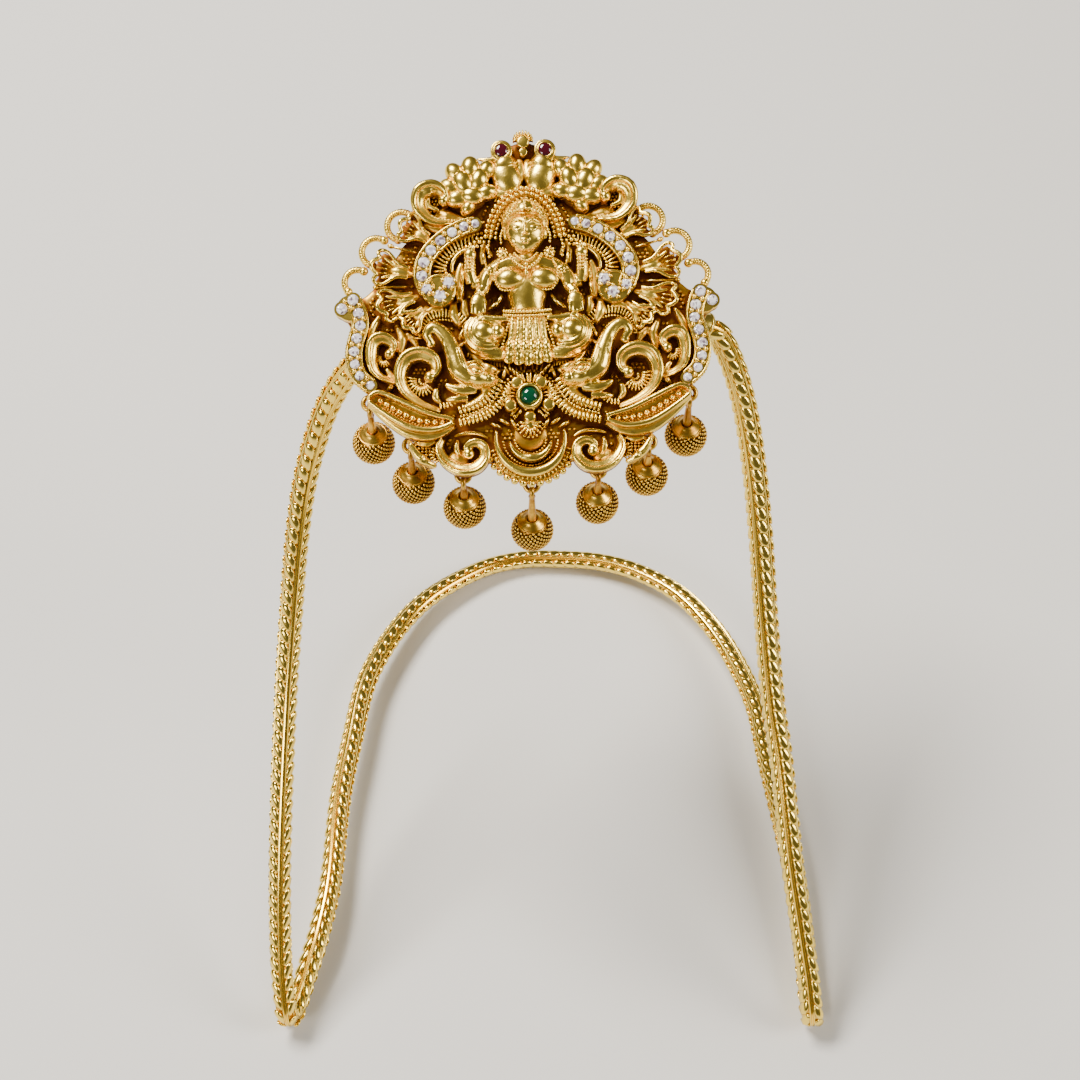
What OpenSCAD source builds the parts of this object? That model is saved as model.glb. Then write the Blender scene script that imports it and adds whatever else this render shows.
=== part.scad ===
// Armlet: a cast relief plaque with seven hanging beads, worn on a woven chain that goes round the arm.
// Lengths are millimetres. It stands as it rests: on two folds of the chain and on the chain's rear arch.

/* [Plaque] */
// Thickness of the cast plate under the relief
plate_t = 1.2; // [0.9:0.1:1.6]
// Lean of the plaque's long axis from the ground, in degrees
lean = 29; // [27:1:31]
// Small turn of the plaque in its own plane, in degrees
roll = 1.5; // [0:0.5:2.5]

/* [Chain] */
// Width of the square woven chain
chain_w = 3.5; // [3.2:0.1:3.6]
// Radius of the wire of the rings at the chain's ends
ring_wire = 0.5; // [0.4:0.05:0.55]

/* [Stones] */
// Height of a stone's table above the edge of its setting
table_rise = 0.25; // [0.15:0.05:0.35]
// Wall of metal round each white stone
setting_wall = 0.36; // [0.3:0.02:0.45]

/* [Beads] */
// Radius of each hanging bead
bead_r = 3.03; // [2.8:0.05:3.1]
// Radius of the pin that each bead hangs on
pin_r = 0.35; // [0.3:0.05:0.38]

/* [Hidden] */
// Gap between pieces that are seated on each other
seat = 0.05;
// Height at which the relief starts, above the back of the plate
base = plate_t + seat;
// Place of the plaque's middle, at the back of the plate, over the midpoint of the two folds
plaque_at = [-3.5, 64.9, 86.7];
// Move that puts the middle of the whole armlet's foot at the origin
stand_at = [0.7, -43.4, 1.95];
// Places on the plaque are [across, up], measured from its middle; left is the mirror of right.
PLATE_EDGE = [[0, 26.2], [2.2, 25.6], [4, 24.9], [4.9, 23.2], [7.4, 22.2], [9.4, 21.2], [10.3, 19.6],
    [12.3, 19.4], [13.9, 18.6], [14.3, 16.6], [14.4, 15], [15.2, 13.4], [16.6, 12.2], [17.4, 10.8],
    [18.6, 9.6], [20, 8], [20.6, 6.4], [22, 5.2], [24.2, 4.6], [25.2, 3.2], [24.2, 1.6], [23.6, 0.4],
    [24.1, -1.2], [24.3, -3.4], [23.9, -5.4], [22.6, -7.4], [21, -8.7], [19.2, -10.4], [17.4, -12.2],
    [16.6, -14.2], [15.4, -16.2], [13.2, -17.3], [11, -17.6], [9.4, -18.2], [7, -17.9], [5.4, -17.8],
    [4.2, -19.2], [2, -20.4], [0, -20.7]];
// Each drop: across, up, and length from its ring on the plate to the middle of its bead
DROPS = [[-21.6, -10, 7.4], [-16.2, -15.9, 7], [-9.2, -20.1, 6], [0, -21.6, 9.2],
    [9, -19.9, 6], [15.9, -16.2, 6], [21.6, -9.7, 8]];
drop_ring_r = 0.85;
plate_ring_r = 0.9;
// Rings on the plate's back that carry the chain: across, up
LUG_LEFT = [-20.2, 0.2];
LUG_RIGHT = [20.2, 2.6];
link_ring_r = 1.6;
lug_out = 1.05;
// Distance between the middles of two rings that hang in each other
link_reach = 1.9;
cap_length = 2;
// Route of the chain's middle line over the ground: down to the left fold, back round the rear arch,
// and from the right fold up; the chain goes on straight from both ends towards the lugs
ROUTE = [[-29, 65, 77.5], [-31.5, 64, 73], [-33.5, 62, 68.5], [-35.8, 58.4, 61.5],
    [-37.4, 53, 54], [-38.7, 45.2, 44.8], [-39.7, 36.5, 36.5], [-40.6, 25.2, 26.2], [-41.1, 16, 17.8],
    [-41.2, 9, 11.4], [-41, 4.4, 7.4], [-40.6, 0.9, 4.1], [-40.4, 0.2, 2.8], [-40.2, 0.4, 1.4],
    [-39.9, 1.4, 0.3], [-39.5, 2.8, 0], [-38.9, 5, 0.3], [-37.7, 9.2, 1.2], [-36.4, 14.3, 2],
    [-35.1, 22.5, 2.6], [-34.4, 36.3, 3.2], [-33, 47.2, 3.4], [-31.1, 58.7, 3.2], [-26.8, 68.6, 2.6],
    [-21.1, 76.4, 1.6], [-12.5, 82.7, 0.6], [-5.4, 85.2, 0], [1, 85.4, 0], [8.8, 84.5, 0.4],
    [15.8, 81.8, 1], [22.7, 76.7, 1.8], [28.3, 69, 2.6], [32.1, 60.7, 3.2], [34.5, 52.8, 3.4],
    [35.7, 43.5, 3.4], [37.4, 32.8, 3], [38.8, 22.6, 2.4], [39.5, 12.8, 1.4], [39.8, 5.4, 0.3],
    [39.9, 2.8, 0], [39.9, 1.4, 0.3], [39.9, 0.4, 1.4], [39.7, 0.2, 2.8], [39.5, 0.9, 4.1],
    [38.9, 4.4, 7.6], [37.7, 9.8, 12.9], [36, 17.6, 20.6], [34, 29.2, 31.7], [32.6, 35.4, 37.9],
    [31.3, 43.8, 46.8], [30.2, 52, 55.8], [28.9, 58.6, 64], [27.2, 63.3, 71.7], [25.1, 66.4, 78],
    [22.8, 68.2, 82.4]];
// White stones of the crescent and of the side curl: across, up, diameter
CRESCENT = [[6.7, 14.3, 1.2], [8.2, 13.95, 1.35], [9.8, 13.2, 1.45], [11.4, 12.1, 1.5], [12.7, 10.8, 1.55],
    [13.7, 9.2, 1.6], [14, 7.35, 1.6], [13.4, 5.6, 1.6], [11.6, 4.6, 1.75], [10.4, 6.4, 1.75]];
CURL = [[24.8, 3.2, 1.6], [23.3, 4.4, 1.6], [22.6, 2.6, 1.55], [22.4, 0.9, 1.5], [22.9, -0.8, 1.5],
    [23.3, -2.6, 1.5], [23.2, -4.3, 1.4], [22.6, -5.9, 1.35], [21.2, -7.2, 1.25]];
crescent_top = 3.8;
curl_top = 3.4;
// Open wire loops at the edge: across, up, radius, first and last angle
LOOPS = [[16.7, 14.7, 2, 140, -75], [20.2, 11.2, 2, 125, -75], [22.8, 7.1, 1.8, 120, -45]];
loop_wire = 0.38;
// Lily fans: across, up, angle, length
FANS = [[13, 12.6, 30, 3.6], [15.6, 8, 12, 4.4], [15, 4.8, -18, 4.4], [13.7, 3.1, -43, 3.2]];
HORN = [[9.8, 14.9], [12.4, 15.1], [14.2, 16.8], [14, 18.8], [12.4, 19.5], [11.1, 18.8], [10.8, 17.7]];
BUDS = [[6, 21.25, 0.95], [7.6, 21.9, 0.9], [9, 20.4, 0.9], [7.1, 19.4, 1.1], [5, 19.4, 0.9],
    [8, 17.8, 0.9], [9.5, 18.7, 0.7], [6, 17.7, 0.8]];
TRUNK = [[12.9, -1.6], [13.5, -0.6], [12.6, 0.3], [11.1, -0.8], [10, -3.2], [9.3, -5.4], [7.6, -6.6]];
SMALL_C = [[18.5, -2.9], [18.1, -1.7], [19.3, -0.8], [20.6, -1.2], [21, -2.9], [20.8, -4.8], [19.8, -6],
    [17.8, -6.8]];
BIG_C = [[13.3, -6.2], [12.4, -5.2], [12.8, -3.8], [14.6, -3.1], [16.4, -3.8], [17.2, -5.9], [16.6, -8],
    [14.6, -9.7], [12, -10.7]];
LEAF_UP = [[21.5, -9.1], [20, -8.3], [16.6, -9.8], [13.4, -11.3], [10.1, -12.2]];
LEAF_LOW = [[21.5, -9.4], [18.9, -11.7], [16.3, -13.4], [14, -13.9], [12, -13.6], [10.1, -12.6]];
CRESCENT_LOW = [[16.2, -14.9], [15.2, -16.6], [14, -17.6], [13.2, -18]];
SCROLL_LOW = [[11.7, -14.5], [12.2, -15.9], [11.3, -17.7], [9.4, -18.8], [7.4, -18.6], [6.2, -17.3],
    [6.3, -15.9], [7.4, -15.3], [8.5, -15.8], [8.3, -16.7]];
NECK = [[5.2, -7.9], [6.6, -9.6], [8.9, -10.7]];
COLLAR = [[4.4, -9.6], [6, -11.2], [8.8, -12.1]];
RAYS = [[8.6, 1], [9.7, 1.8], [10.8, 2.1], [11.9, 2]];
HALO = [[4.7, 12.6], [4.4, 14.2], [3.4, 16.4], [1.8, 18], [0, 18.6]];
FEATHER = [[8.9, 12.1], [10.3, 10.9], [11.5, 9.3], [11.9, 8.3]];

gold = "goldenrod";

// Curves
function between(p0, p1, p2, p3, t) =
    0.5 * (2 * p1 + (p2 - p0) * t + (2 * p0 - 5 * p1 + 4 * p2 - p3) * t * t
    + (3 * p1 - p0 - 3 * p2 + p3) * t * t * t);
function smooth(p, n) = [for (i = [0:len(p) - 2], k = [0:n - 1])
    between(p[max(i - 1, 0)], p[i], p[i + 1], p[min(i + 2, len(p) - 1)], k / n), p[len(p) - 1]];
function arc(c, r, a, b, n) = [for (i = [0:n]) c + r * [cos(a + (b - a) * i / n), sin(a + (b - a) * i / n)]];
function unit(v) = v / norm(v);
function heading(p, i) = unit(p[min(i + 1, len(p) - 1)] - p[max(i - 1, 0)]);
function mirrored(p) = [for (i = [len(p) - 2:-1:1]) [-p[i][0], p[i][1]]];
// Value that swells from a at both ends to b at share m of the way
function swell(a, m, b, i, n) = a + (b - a) * (i / n < m ? sin(90 * i / n / m) : sin(90 * (1 - i / n) / (1 - m)));

// Skin of a solid swept through rings that all have the same number of points
module skin(rings) {
    n = len(rings[0]);
    last = len(rings) - 1;
    polyhedron([for (ring = rings) each ring], concat(
        [[for (k = [n - 1:-1:0]) k], [for (k = [0:n - 1]) last * n + k]],
        [for (i = [0:last - 1], k = [0:n - 1]) each [
            [i * n + k, i * n + (k + 1) % n, (i + 1) * n + k],
            [i * n + (k + 1) % n, (i + 1) * n + (k + 1) % n, (i + 1) * n + k]]]));
}

// Raised wall with a rounded crown along a path: half widths from end to middle, and height
PROFILE = [[-1, 0], [-1, 0.6], [-0.5, 1], [0.5, 1], [1, 0.6], [1, 0]];
module ridge(path, w_end, w_mid, h_end, h_mid, at = 0.5) {
    last = len(path) - 1;
    skin([for (i = [0:last]) let (t = heading(path, i), w = swell(w_end, at, w_mid, i, last),
        h = swell(h_end, at, h_mid, i, last))
        [for (k = PROFILE) [path[i][0] - t[1] * w * k[0], path[i][1] + t[0] * w * k[0], base + h * k[1]]]]);
}

// Round wire along a path of [across, up, out]
module wire(path, r, sides = 6) {
    skin([for (i = [0:len(path) - 1]) let (t = heading(path, i), s = unit(cross(t, [0, 0, 1])), u = cross(s, t))
        [for (k = [0:sides - 1]) path[i] + r * (cos(360 * k / sides) * s + sin(360 * k / sides) * u)]]);
}

// Low faceted dome seated on the plate
module dome(p, r, h, sides = 6) {
    translate([p[0], p[1], base]) hull() cylinder(r1 = r, r2 = r * 0.55, h = h, $fn = sides);
}

// Long dome between two places, each with its own radius
module bar(a, b, ra, rb, h) {
    hull() {
        translate([a[0], a[1], base]) cylinder(r1 = ra, r2 = ra * 0.5, h = h, $fn = 6);
        translate([b[0], b[1], base]) cylinder(r1 = rb, r2 = rb * 0.5, h = h, $fn = 6);
    }
}

// Egg shape with half sizes s
module egg(p, s, turn = 0) {
    translate(p) rotate([0, 0, turn]) scale(s) hull() sphere(r = 1, $fn = 8);
}

// Round limb between two points
module limb(a, b, ra, rb) {
    hull() {
        translate(a) sphere(r = ra, $fn = 6);
        translate(b) sphere(r = rb, $fn = 6);
    }
}

module ring(r, wire_r) {
    rotate_extrude($fn = 32) translate([r, 0]) circle(wire_r, $fn = 24);
}

// Keeps what lies above the seat on the plate
module seated() {
    intersection() {
        union() children();
        translate([-40, -40, base]) cube([80, 80, 12]);
    }
}

// Places
module on_plaque() {
    translate(stand_at + plaque_at) rotate([lean, 0, 0]) rotate([0, 0, roll]) children();
}
module side(s) {
    on_plaque() if (s < 0) mirror([1, 0, 0]) children(); else children();
}
function lean_point(p) = [p[0], p[1] * cos(lean) - p[2] * sin(lean), p[1] * sin(lean) + p[2] * cos(lean)];
function plaque_point(p) = plaque_at
    + lean_point([p[0] * cos(roll) - p[1] * sin(roll), p[0] * sin(roll) + p[1] * cos(roll), p[2]]);
function lug_point(lug) = plaque_point([lug[0], lug[1], -lug_out]);
// Direction square to the plate's normal and to the chain's way out of a lug
function across_way(lug, p) = unit(cross(p - lug_point(lug), lean_point([0, 0, 1])));
// Puts +Z along the way from a to b
module along(a, b) {
    d = b - a;
    translate(a) rotate([0, acos(d[2] / norm(d)), atan2(d[1], d[0])]) children();
}

// Cast plate
module plaque_plate() {
    color(gold) {
        on_plaque() difference() {
            union() {
                linear_extrude(plate_t) difference() {
                    polygon(concat(PLATE_EDGE, mirrored(PLATE_EDGE)));
                    for (s = [-1, 1], l = LOOPS) translate([s * l[0], l[1]]) circle(l[2] - loop_wire, $fn = 12);
                    for (d = DROPS) translate([d[0], d[1] + plate_ring_r]) circle(plate_ring_r, $fn = 12);
                }
                for (d = DROPS) translate([d[0], d[1] + plate_ring_r, -0.1]) ring(plate_ring_r, pin_r);
            }
            for (d = DROPS) translate([d[0] - 0.5, d[1] - 1.4, 0.36]) cube([1, 2.7, 2]);
        }
        lug_ring(LUG_LEFT, ROUTE[0]);
        lug_ring(LUG_RIGHT, ROUTE[len(ROUTE) - 1]);
    }
}
// Ring on the plate's back, in the plane of the plate's normal and the chain's way out
module lug_ring(lug, p) {
    hook = lug_point(lug);
    translate(stand_at) along(hook, hook + across_way(lug, p)) ring(link_ring_r, ring_wire);
}

// Woven chain as one swept solid with softened corners
SECTION = [[1, 0.5], [0.5, 1], [-0.5, 1], [-1, 0.5], [-1, -0.5], [-0.5, -1], [0.5, -1], [1, -0.5]];
arm_axis = [0, cos(lean), sin(lean)];
function outward(p) = p - arm_axis * (p * arm_axis);
function chain_end(lug, p) = lug_point(lug) + (link_reach + link_ring_r + cap_length) * unit(p - lug_point(lug));
module chain() {
    line = concat([chain_end(LUG_LEFT, ROUTE[0])], ROUTE, [chain_end(LUG_RIGHT, ROUTE[len(ROUTE) - 1])]);
    color("darkkhaki") translate(stand_at) skin([for (i = [0:len(line) - 1])
        let (t = heading(line, i), f = outward(line[i]), s = unit(cross(t, f)), o = cross(s, t))
        [for (k = SECTION) line[i] + chain_w / 2 * (k[0] * s + k[1] * o)]]);
}

// Cap on the chain's end with a ring that goes through the lug's ring
module end_cap(lug, p) {
    hook = lug_point(lug);
    way = unit(p - hook);
    middle = hook + way * link_reach;
    color(gold) translate(stand_at) {
        along(middle, middle + cross(way, across_way(lug, p))) ring(link_ring_r, ring_wire);
        along(chain_end(lug, p) - way * seat, hook) cylinder(r1 = 2.2, r2 = 1.2, h = cap_length + ring_wire / 2);
    }
}

// Bead on a pin with a ring at the top and a stop at the bottom
module drop(i) {
    d = DROPS[i];
    hang = d[2];
    color("peru") on_plaque() translate([d[0], d[1], -0.1]) rotate([0, 0, -roll]) rotate([-lean, 0, 0]) {
        translate([0, 0, -0.05]) rotate([0, 90, 0]) ring(drop_ring_r, pin_r);
        translate([0, 0, -hang]) cylinder(r = pin_r, h = hang - drop_ring_r - 0.05);
        translate([0, 0, -hang]) difference() {
            sphere(bead_r);
            translate([0, 0, bead_r - 0.9]) cylinder(r = 0.95, h = 2);
        }
        translate([0, 0, -hang - bead_r - 0.25]) sphere(0.75);
    }
}

// Cut stone with an eight-sided table, crown and point
module stone(d, at) {
    r = d / 2;
    table_edge = [for (k = [0:7]) [r * 0.58 * cos(45 * k), r * 0.58 * sin(45 * k), table_rise]];
    girdle = [for (k = [0:7]) [r * cos(45 * k + 22.5), r * sin(45 * k + 22.5), 0]];
    translate(at) hull() polyhedron(concat(table_edge, girdle, [[0, 0, -r * 0.75]]), concat(
        [[for (k = [7:-1:0]) k]],
        [for (k = [0:7]) each [[k, (k + 1) % 8, 8 + k], [8 + k, (k + 1) % 8, 8 + (k + 1) % 8],
            [8 + k, 8 + (k + 1) % 8, 16]]]));
}
module stones(table, top) {
    color("white") for (s = table) stone(s[2], [s[0], s[1], top]);
}

// Band of metal round a row of stones, drilled for each
module setting(table, top, first) {
    color(gold) difference() {
        union() for (i = [first:len(table) - 1]) hull() for (k = [max(i - 1, 0), i])
            translate([table[k][0], table[k][1], base])
                cylinder(r = table[k][2] / 2 + setting_wall, h = top - base - 0.05, $fn = 8);
        for (s = table) translate([s[0], s[1], top]) seat_for(s[2] / 2);
    }
}
module seat_for(r) {
    rotate(22.5) translate([0, 0, -r * 0.75 - 0.2]) cylinder(r1 = 0, r2 = r + 0.2, h = r * 0.75 + 0.2, $fn = 8);
}
module crescent(s) {
    side(s) union() {
        setting(CRESCENT, crescent_top, 1);
        color(gold) bar([7, 14.2], [6.1, 14.6], 0.8, 0.4, crescent_top - base - 1.2);
    }
}
module side_curl(s) {
    side(s) setting(CURL, curl_top, 1);
}

// Rope wire bent into open loops
module wire_loops(s) {
    color(gold) side(s) for (l = LOOPS)
        wire([for (p = arc([l[0], l[1]], l[2], l[3], l[4], 10)) [p[0], p[1], base + loop_wire]], loop_wire);
}

module lily_fans(s) {
    color(gold) side(s) difference() {
        for (f = FANS, a = [-22, 0, 22]) {
            tip = [f[0], f[1]] + (f[3] - 0.4 * abs(a) / 22) * [cos(f[2] + a), sin(f[2] + a)];
            bar([f[0], f[1]], tip, 0.32, 0.75, 1.5);
        }
        for (l = LOOPS) translate([l[0], l[1], 0]) cylinder(r = l[2] + loop_wire + 0.12, h = 9, $fn = 12);
        crescent_room();
    }
}
// Room round the crescent that its neighbours leave free
module crescent_room() {
    for (i = [1:len(CRESCENT) - 1]) hull() for (k = [i - 1, i])
        translate([CRESCENT[k][0], CRESCENT[k][1], 0])
            cylinder(r = CRESCENT[k][2] / 2 + setting_wall + 0.13, h = 9, $fn = 10);
    translate([6.4, 14.45, 0]) cylinder(r = 1, h = 9, $fn = 10);
}

module horn_scroll(s) {
    color(gold) side(s) union() {
        ridge(smooth(HORN, 2), 0.3, 0.75, 1.6, 2.8);
        for (a = [0:60:300]) dome([12.5, 17.3] + 0.95 * [cos(a), sin(a)], 0.58, 1.3, 5);
    }
}
module buds(s) {
    color(gold) side(s) for (b = BUDS) seated() egg([b[0], b[1], base + 0.5], [b[2], b[2] * 1.15, 1.9], -20);
}
module bird(s) {
    color(gold) side(s) seated() {
        egg([2.35, 21.2, base + 0.6], [1.65, 1.8, 2.2], -25);
        limb([2.6, 22.2, base + 1.6], [3.4, 22.4, base + 1.3], 0.65, 0.45);
        limb([3.4, 22.4, base + 1.3], [5.3, 22.9, base + 0.9], 0.45, 0.2);
        for (i = [0:3]) bar([2.2 + 0.55 * i, 19.9 + 0.2 * i], [2.1 + 0.6 * i, 19.5 + 0.2 * i], 0.4, 0.25, 0.9);
    }
}
module finial() {
    color(gold) on_plaque() {
        dome([0, 24.15], 0.75, 2);
        dome([0, 25.45], 0.8, 2);
        for (a = [0:30:180]) dome([1.1 * cos(a), 26.4 + 0.9 * sin(a)], 0.38, 1.5);
    }
}
module ruby_bezel(s) {
    color(gold) side(s) translate([2.95, 24.45, base]) difference() {
        cylinder(r = 1.48, h = 2.2);
        translate([0, 0, 0.8]) cylinder(r = 1.05, h = 3);
    }
}
module ruby(s) {
    color("darkred") side(s) translate([2.95, 24.45, base + 0.9]) intersection() {
        cylinder(r = 0.95, h = 3);
        translate([0, 0, 0.3]) sphere(1.25);
    }
}
module green_stone() {
    color("darkgreen") on_plaque() translate([0, -9.3, base + 2.6]) intersection() {
        cylinder(r = 1.3, h = 3);
        translate([0, 0, -0.1]) sphere(1.6);
    }
}
module centre_flower() {
    color(gold) on_plaque() difference() {
        union() {
            translate([0, -9.3, base]) cylinder(r = 1.8, h = 3.6, $fn = 16);
            for (p = [[1.5, -7.5], [-1.5, -7.5], [2.6, -10.4], [-2.6, -10.4], [0, -12]]) dome(p, 0.8, 3.2);
            for (a = [0:30:180]) dome([1 * cos(a + 180), -13.5 + 0.9 * sin(a + 180)], 0.42, 2.4);
            for (s = [-1, 1]) bar([1.5 * s, -9], [3.4 * s, -8.6], 1, 0.7, 1.8);
        }
        translate([0, -9.3, base + 2.5]) cylinder(r = 1.4, h = 3, $fn = 16);
    }
}
module medallion() {
    color(gold) on_plaque() union() {
        ridge(arc([0, -14.8], 4.6, 168, 372, 15), 0.35, 0.5, 2.6, 3);
        ridge(arc([0, -14.6], 2.9, 195, 345, 9), 0.3, 0.42, 2.6, 2.8);
        for (a = [214:11.2:326]) dome([0, -15.4] + 6 * [cos(a), sin(a)], 0.5, 1.8, 5);
    }
}
module halo() {
    arch = concat(smooth(HALO, 2), [for (i = [2 * len(HALO) - 4:-1:0]) let (p = smooth(HALO, 2)[i]) [-p[0], p[1]]]);
    color(gold) on_plaque() {
        ridge(arch, 0.6, 0.8, 1.6, 1.8);
        for (i = [0:2:len(arch) - 1]) dome(arch[i], 0.5, 2.3, 5);
    }
}
module feather(s) {
    color(gold) side(s) difference() {
        for (p = smooth(FEATHER, 2)) bar(p, [p[0] - 1.3, p[1] - 1.1], 0.56, 0.42, 1.3);
        crescent_room();
    }
}
module elephant(s) {
    color(gold) side(s) seated() {
        ridge(smooth(TRUNK, 3), 0.35, 1.25, 2.2, 4.2, 0.85);
        egg([6.9, -6.5, base + 1.4], [1.7, 1.35, 3], 20);
        limb([7.6, -8, base + 1.6], [9.8, -7.4, base + 2.4], 0.55, 0.25);
        egg([7.1, -5.9, base + 3.9], [0.6, 0.4, 0.6], 20);
        ridge(smooth(NECK, 2), 0.5, 0.8, 1.8, 2.6);
        ridge(smooth(COLLAR, 2), 0.4, 0.65, 1.5, 2);
        for (p = RAYS) bar([p[0] + 0.1, p[1] - 0.5], [p[0] - 0.1, p[1] + 0.6], 0.3, 0.34, 1.1);
    }
}
module c_scrolls(s) {
    color(gold) side(s) difference() {
        union() {
            ridge(smooth(SMALL_C, 2), 0.35, 0.62, 1.8, 2.6);
            ridge(smooth(BIG_C, 2), 0.35, 0.7, 2, 3);
            for (a = [-20:-35:-125]) let (c = [14.4, -6.4])
                bar(c + 1.2 * [cos(a), sin(a)], c + 1.9 * [cos(a), sin(a)], 0.28, 0.34, 1.5);
        }
        leaf_room(0.15);
        curl_room();
    }
}
module curl_room() {
    for (i = [1:len(CURL) - 1]) hull() for (k = [i - 1, i])
        translate([CURL[k][0], CURL[k][1], 0])
            cylinder(r = CURL[k][2] / 2 + setting_wall + 0.13, h = 9, $fn = 10);
}
// Leaf panel: a tall dish between two rims, with a row of beads
leaf_edge = concat(smooth(LEAF_UP, 3), [for (i = [len(LEAF_LOW) - 1:-1:0]) LEAF_LOW[i]]);
module leaf_room(grow) {
    linear_extrude(9) offset(delta = grow + 0.42) polygon(leaf_edge);
}
module leaf(s) {
    color(gold) side(s) difference() {
        union() {
            translate([0, 0, base]) linear_extrude(2.5) offset(delta = 0.1) polygon(leaf_edge);
            ridge(smooth(LEAF_UP, 3), 0.3, 0.4, 3.2, 3.5);
            ridge(smooth(LEAF_LOW, 3), 0.3, 0.4, 3.2, 3.5);
            for (p = smooth([[19.2, -9.6], [15.8, -11.7], [12.2, -12.7]], 3))
                translate([0, 0, 2.1]) dome(p, 0.45, 1, 5);
        }
        curl_room();
    }
}
module low_scroll(s) {
    color(gold) side(s) difference() {
        union() {
            ridge(smooth(SCROLL_LOW, 2), 0.3, 0.65, 1.8, 3, 0.35);
            ridge(smooth(CRESCENT_LOW, 3), 0.3, 0.5, 2, 2.6);
            for (i = [0:7]) dome([13.4 + 0.8 * (i % 3), -15.2 - 0.75 * floor(i / 3)], 0.32, 1.1, 5);
        }
        leaf_room(0.15);
    }
}

// Seated goddess: crown, head, chest, four arms, crossed legs and pleated skirt
module goddess_figure() {
    f = base + 1.6;
    color(gold) on_plaque() seated() {
        egg([0, 13, f + 1.4], [2.5, 3, 2.4]);
        limb([0, 15.2, f + 0.9], [0, 17.2, f + 0.4], 1.7, 0.6);
        limb([0, 10.6, f], [0, 9.4, f], 1.2, 1.4);
        limb([0, 8.6, f - 0.2], [0, 5.2, f - 0.2], 1.9, 1.5);
        limb([0, 4.8, f - 0.2], [0, 1.8, f - 0.2], 1.6, 2);
        for (s = [-1, 1]) {
            egg([1.9 * s, 7, f + 1.1], [1.9, 1.6, 1.7]);
            egg([2.6 * s, 11.2, f + 0.6], [0.85, 0.85, 0.85]);
            limb([2.4 * s, 8.6, f - 0.2], [5.3 * s, 7, f - 0.8], 0.95, 0.75);
            limb([5.3 * s, 7, f - 0.8], [6.6 * s, 9.4, f - 0.4], 0.75, 0.55);
            limb([6.6 * s, 9.4, f - 0.4], [6.9 * s, 11.2, f - 0.3], 0.8, 0.4);
            limb([2.6 * s, 7.4, f - 0.6], [5.5 * s, 5, f - 0.7], 0.8, 0.65);
            limb([5.5 * s, 5, f - 0.7], [6.5 * s, 3.3, f], 0.65, 0.7);
            limb([2.2 * s, 0.9, f - 0.4], [6.1 * s, -0.2, f], 1.5, 1.85);
            limb([6.1 * s, -0.2, f - 0.2], [1.6 * s, -2.6, f - 0.6], 1.5, 1);
        }
        for (a = [-2, -1, 0, 1, 2]) bar([0.7 * a, 1.2], [1.15 * a, -4.2], 0.6, 0.75, 3.6);
    }
}

plaque_plate();
chain();
end_cap(LUG_LEFT, ROUTE[0]);  // end_cap_left
end_cap(LUG_RIGHT, ROUTE[len(ROUTE) - 1]);  // end_cap_right
for (i = [0:6]) drop(i);
goddess_figure();
halo();
finial();
bird(-1);  // bird_left
bird(1);  // bird_right
buds(-1);  // buds_left
buds(1);  // buds_right
horn_scroll(-1);  // horn_scroll_left
horn_scroll(1);  // horn_scroll_right
wire_loops(-1);  // wire_loops_left
wire_loops(1);  // wire_loops_right
lily_fans(-1);  // lily_fans_left
lily_fans(1);  // lily_fans_right
crescent(-1);  // crescent_left
crescent(1);  // crescent_right
side(-1) stones(CRESCENT, crescent_top);  // crescent_stones_left
side(1) stones(CRESCENT, crescent_top);  // crescent_stones_right
side_curl(-1);  // side_curl_left
side_curl(1);  // side_curl_right
side(-1) stones(CURL, curl_top);  // curl_stones_left
side(1) stones(CURL, curl_top);  // curl_stones_right
feather(-1);  // feather_left
feather(1);  // feather_right
elephant(-1);  // elephant_left
elephant(1);  // elephant_right
c_scrolls(-1);  // c_scrolls_left
c_scrolls(1);  // c_scrolls_right
leaf(-1);  // leaf_left
leaf(1);  // leaf_right
low_scroll(-1);  // low_scroll_left
low_scroll(1);  // low_scroll_right
medallion();
centre_flower();
green_stone();
ruby_bezel(-1);  // ruby_bezel_left
ruby_bezel(1);  // ruby_bezel_right
ruby(-1);  // ruby_left
ruby(1);  // ruby_right
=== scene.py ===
import math

import bmesh
import bpy
import numpy as np
from mathutils import Matrix, Vector


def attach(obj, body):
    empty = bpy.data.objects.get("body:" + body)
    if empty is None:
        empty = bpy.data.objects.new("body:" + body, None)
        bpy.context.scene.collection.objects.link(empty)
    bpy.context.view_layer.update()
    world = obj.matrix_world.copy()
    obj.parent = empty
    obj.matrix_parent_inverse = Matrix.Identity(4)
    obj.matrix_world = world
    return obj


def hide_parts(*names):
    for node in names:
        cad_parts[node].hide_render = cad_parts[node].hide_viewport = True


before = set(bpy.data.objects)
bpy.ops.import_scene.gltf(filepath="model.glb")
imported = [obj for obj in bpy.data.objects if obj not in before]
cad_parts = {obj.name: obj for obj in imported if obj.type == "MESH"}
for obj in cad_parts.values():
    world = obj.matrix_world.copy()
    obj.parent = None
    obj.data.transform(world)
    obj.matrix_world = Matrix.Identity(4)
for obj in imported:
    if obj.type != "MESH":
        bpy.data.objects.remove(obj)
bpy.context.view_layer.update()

# The plaque is modelled flat, in millimetres: across, up and out from its middle, at the back of its plate.
# Its relief starts at height BASE. Each finished piece is noted with its node and its finish.
MM = 0.001
BASE = 1.25
LEAN = math.radians(29)
PLAQUE = (Matrix.Translation((-0.0028, 0.0215, 0.08865)) @ Matrix.Rotation(LEAN, 4, "X")
          @ Matrix.Rotation(math.radians(1.5), 4, "Z") @ Matrix.Scale(MM, 4))
SIDES = (-1, 1)
TINY = 1e-9
WELD = 1e-4
PIECES = []


# Small tools of the bench
def deselect():
    bpy.ops.object.select_all(action="DESELECT")


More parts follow.
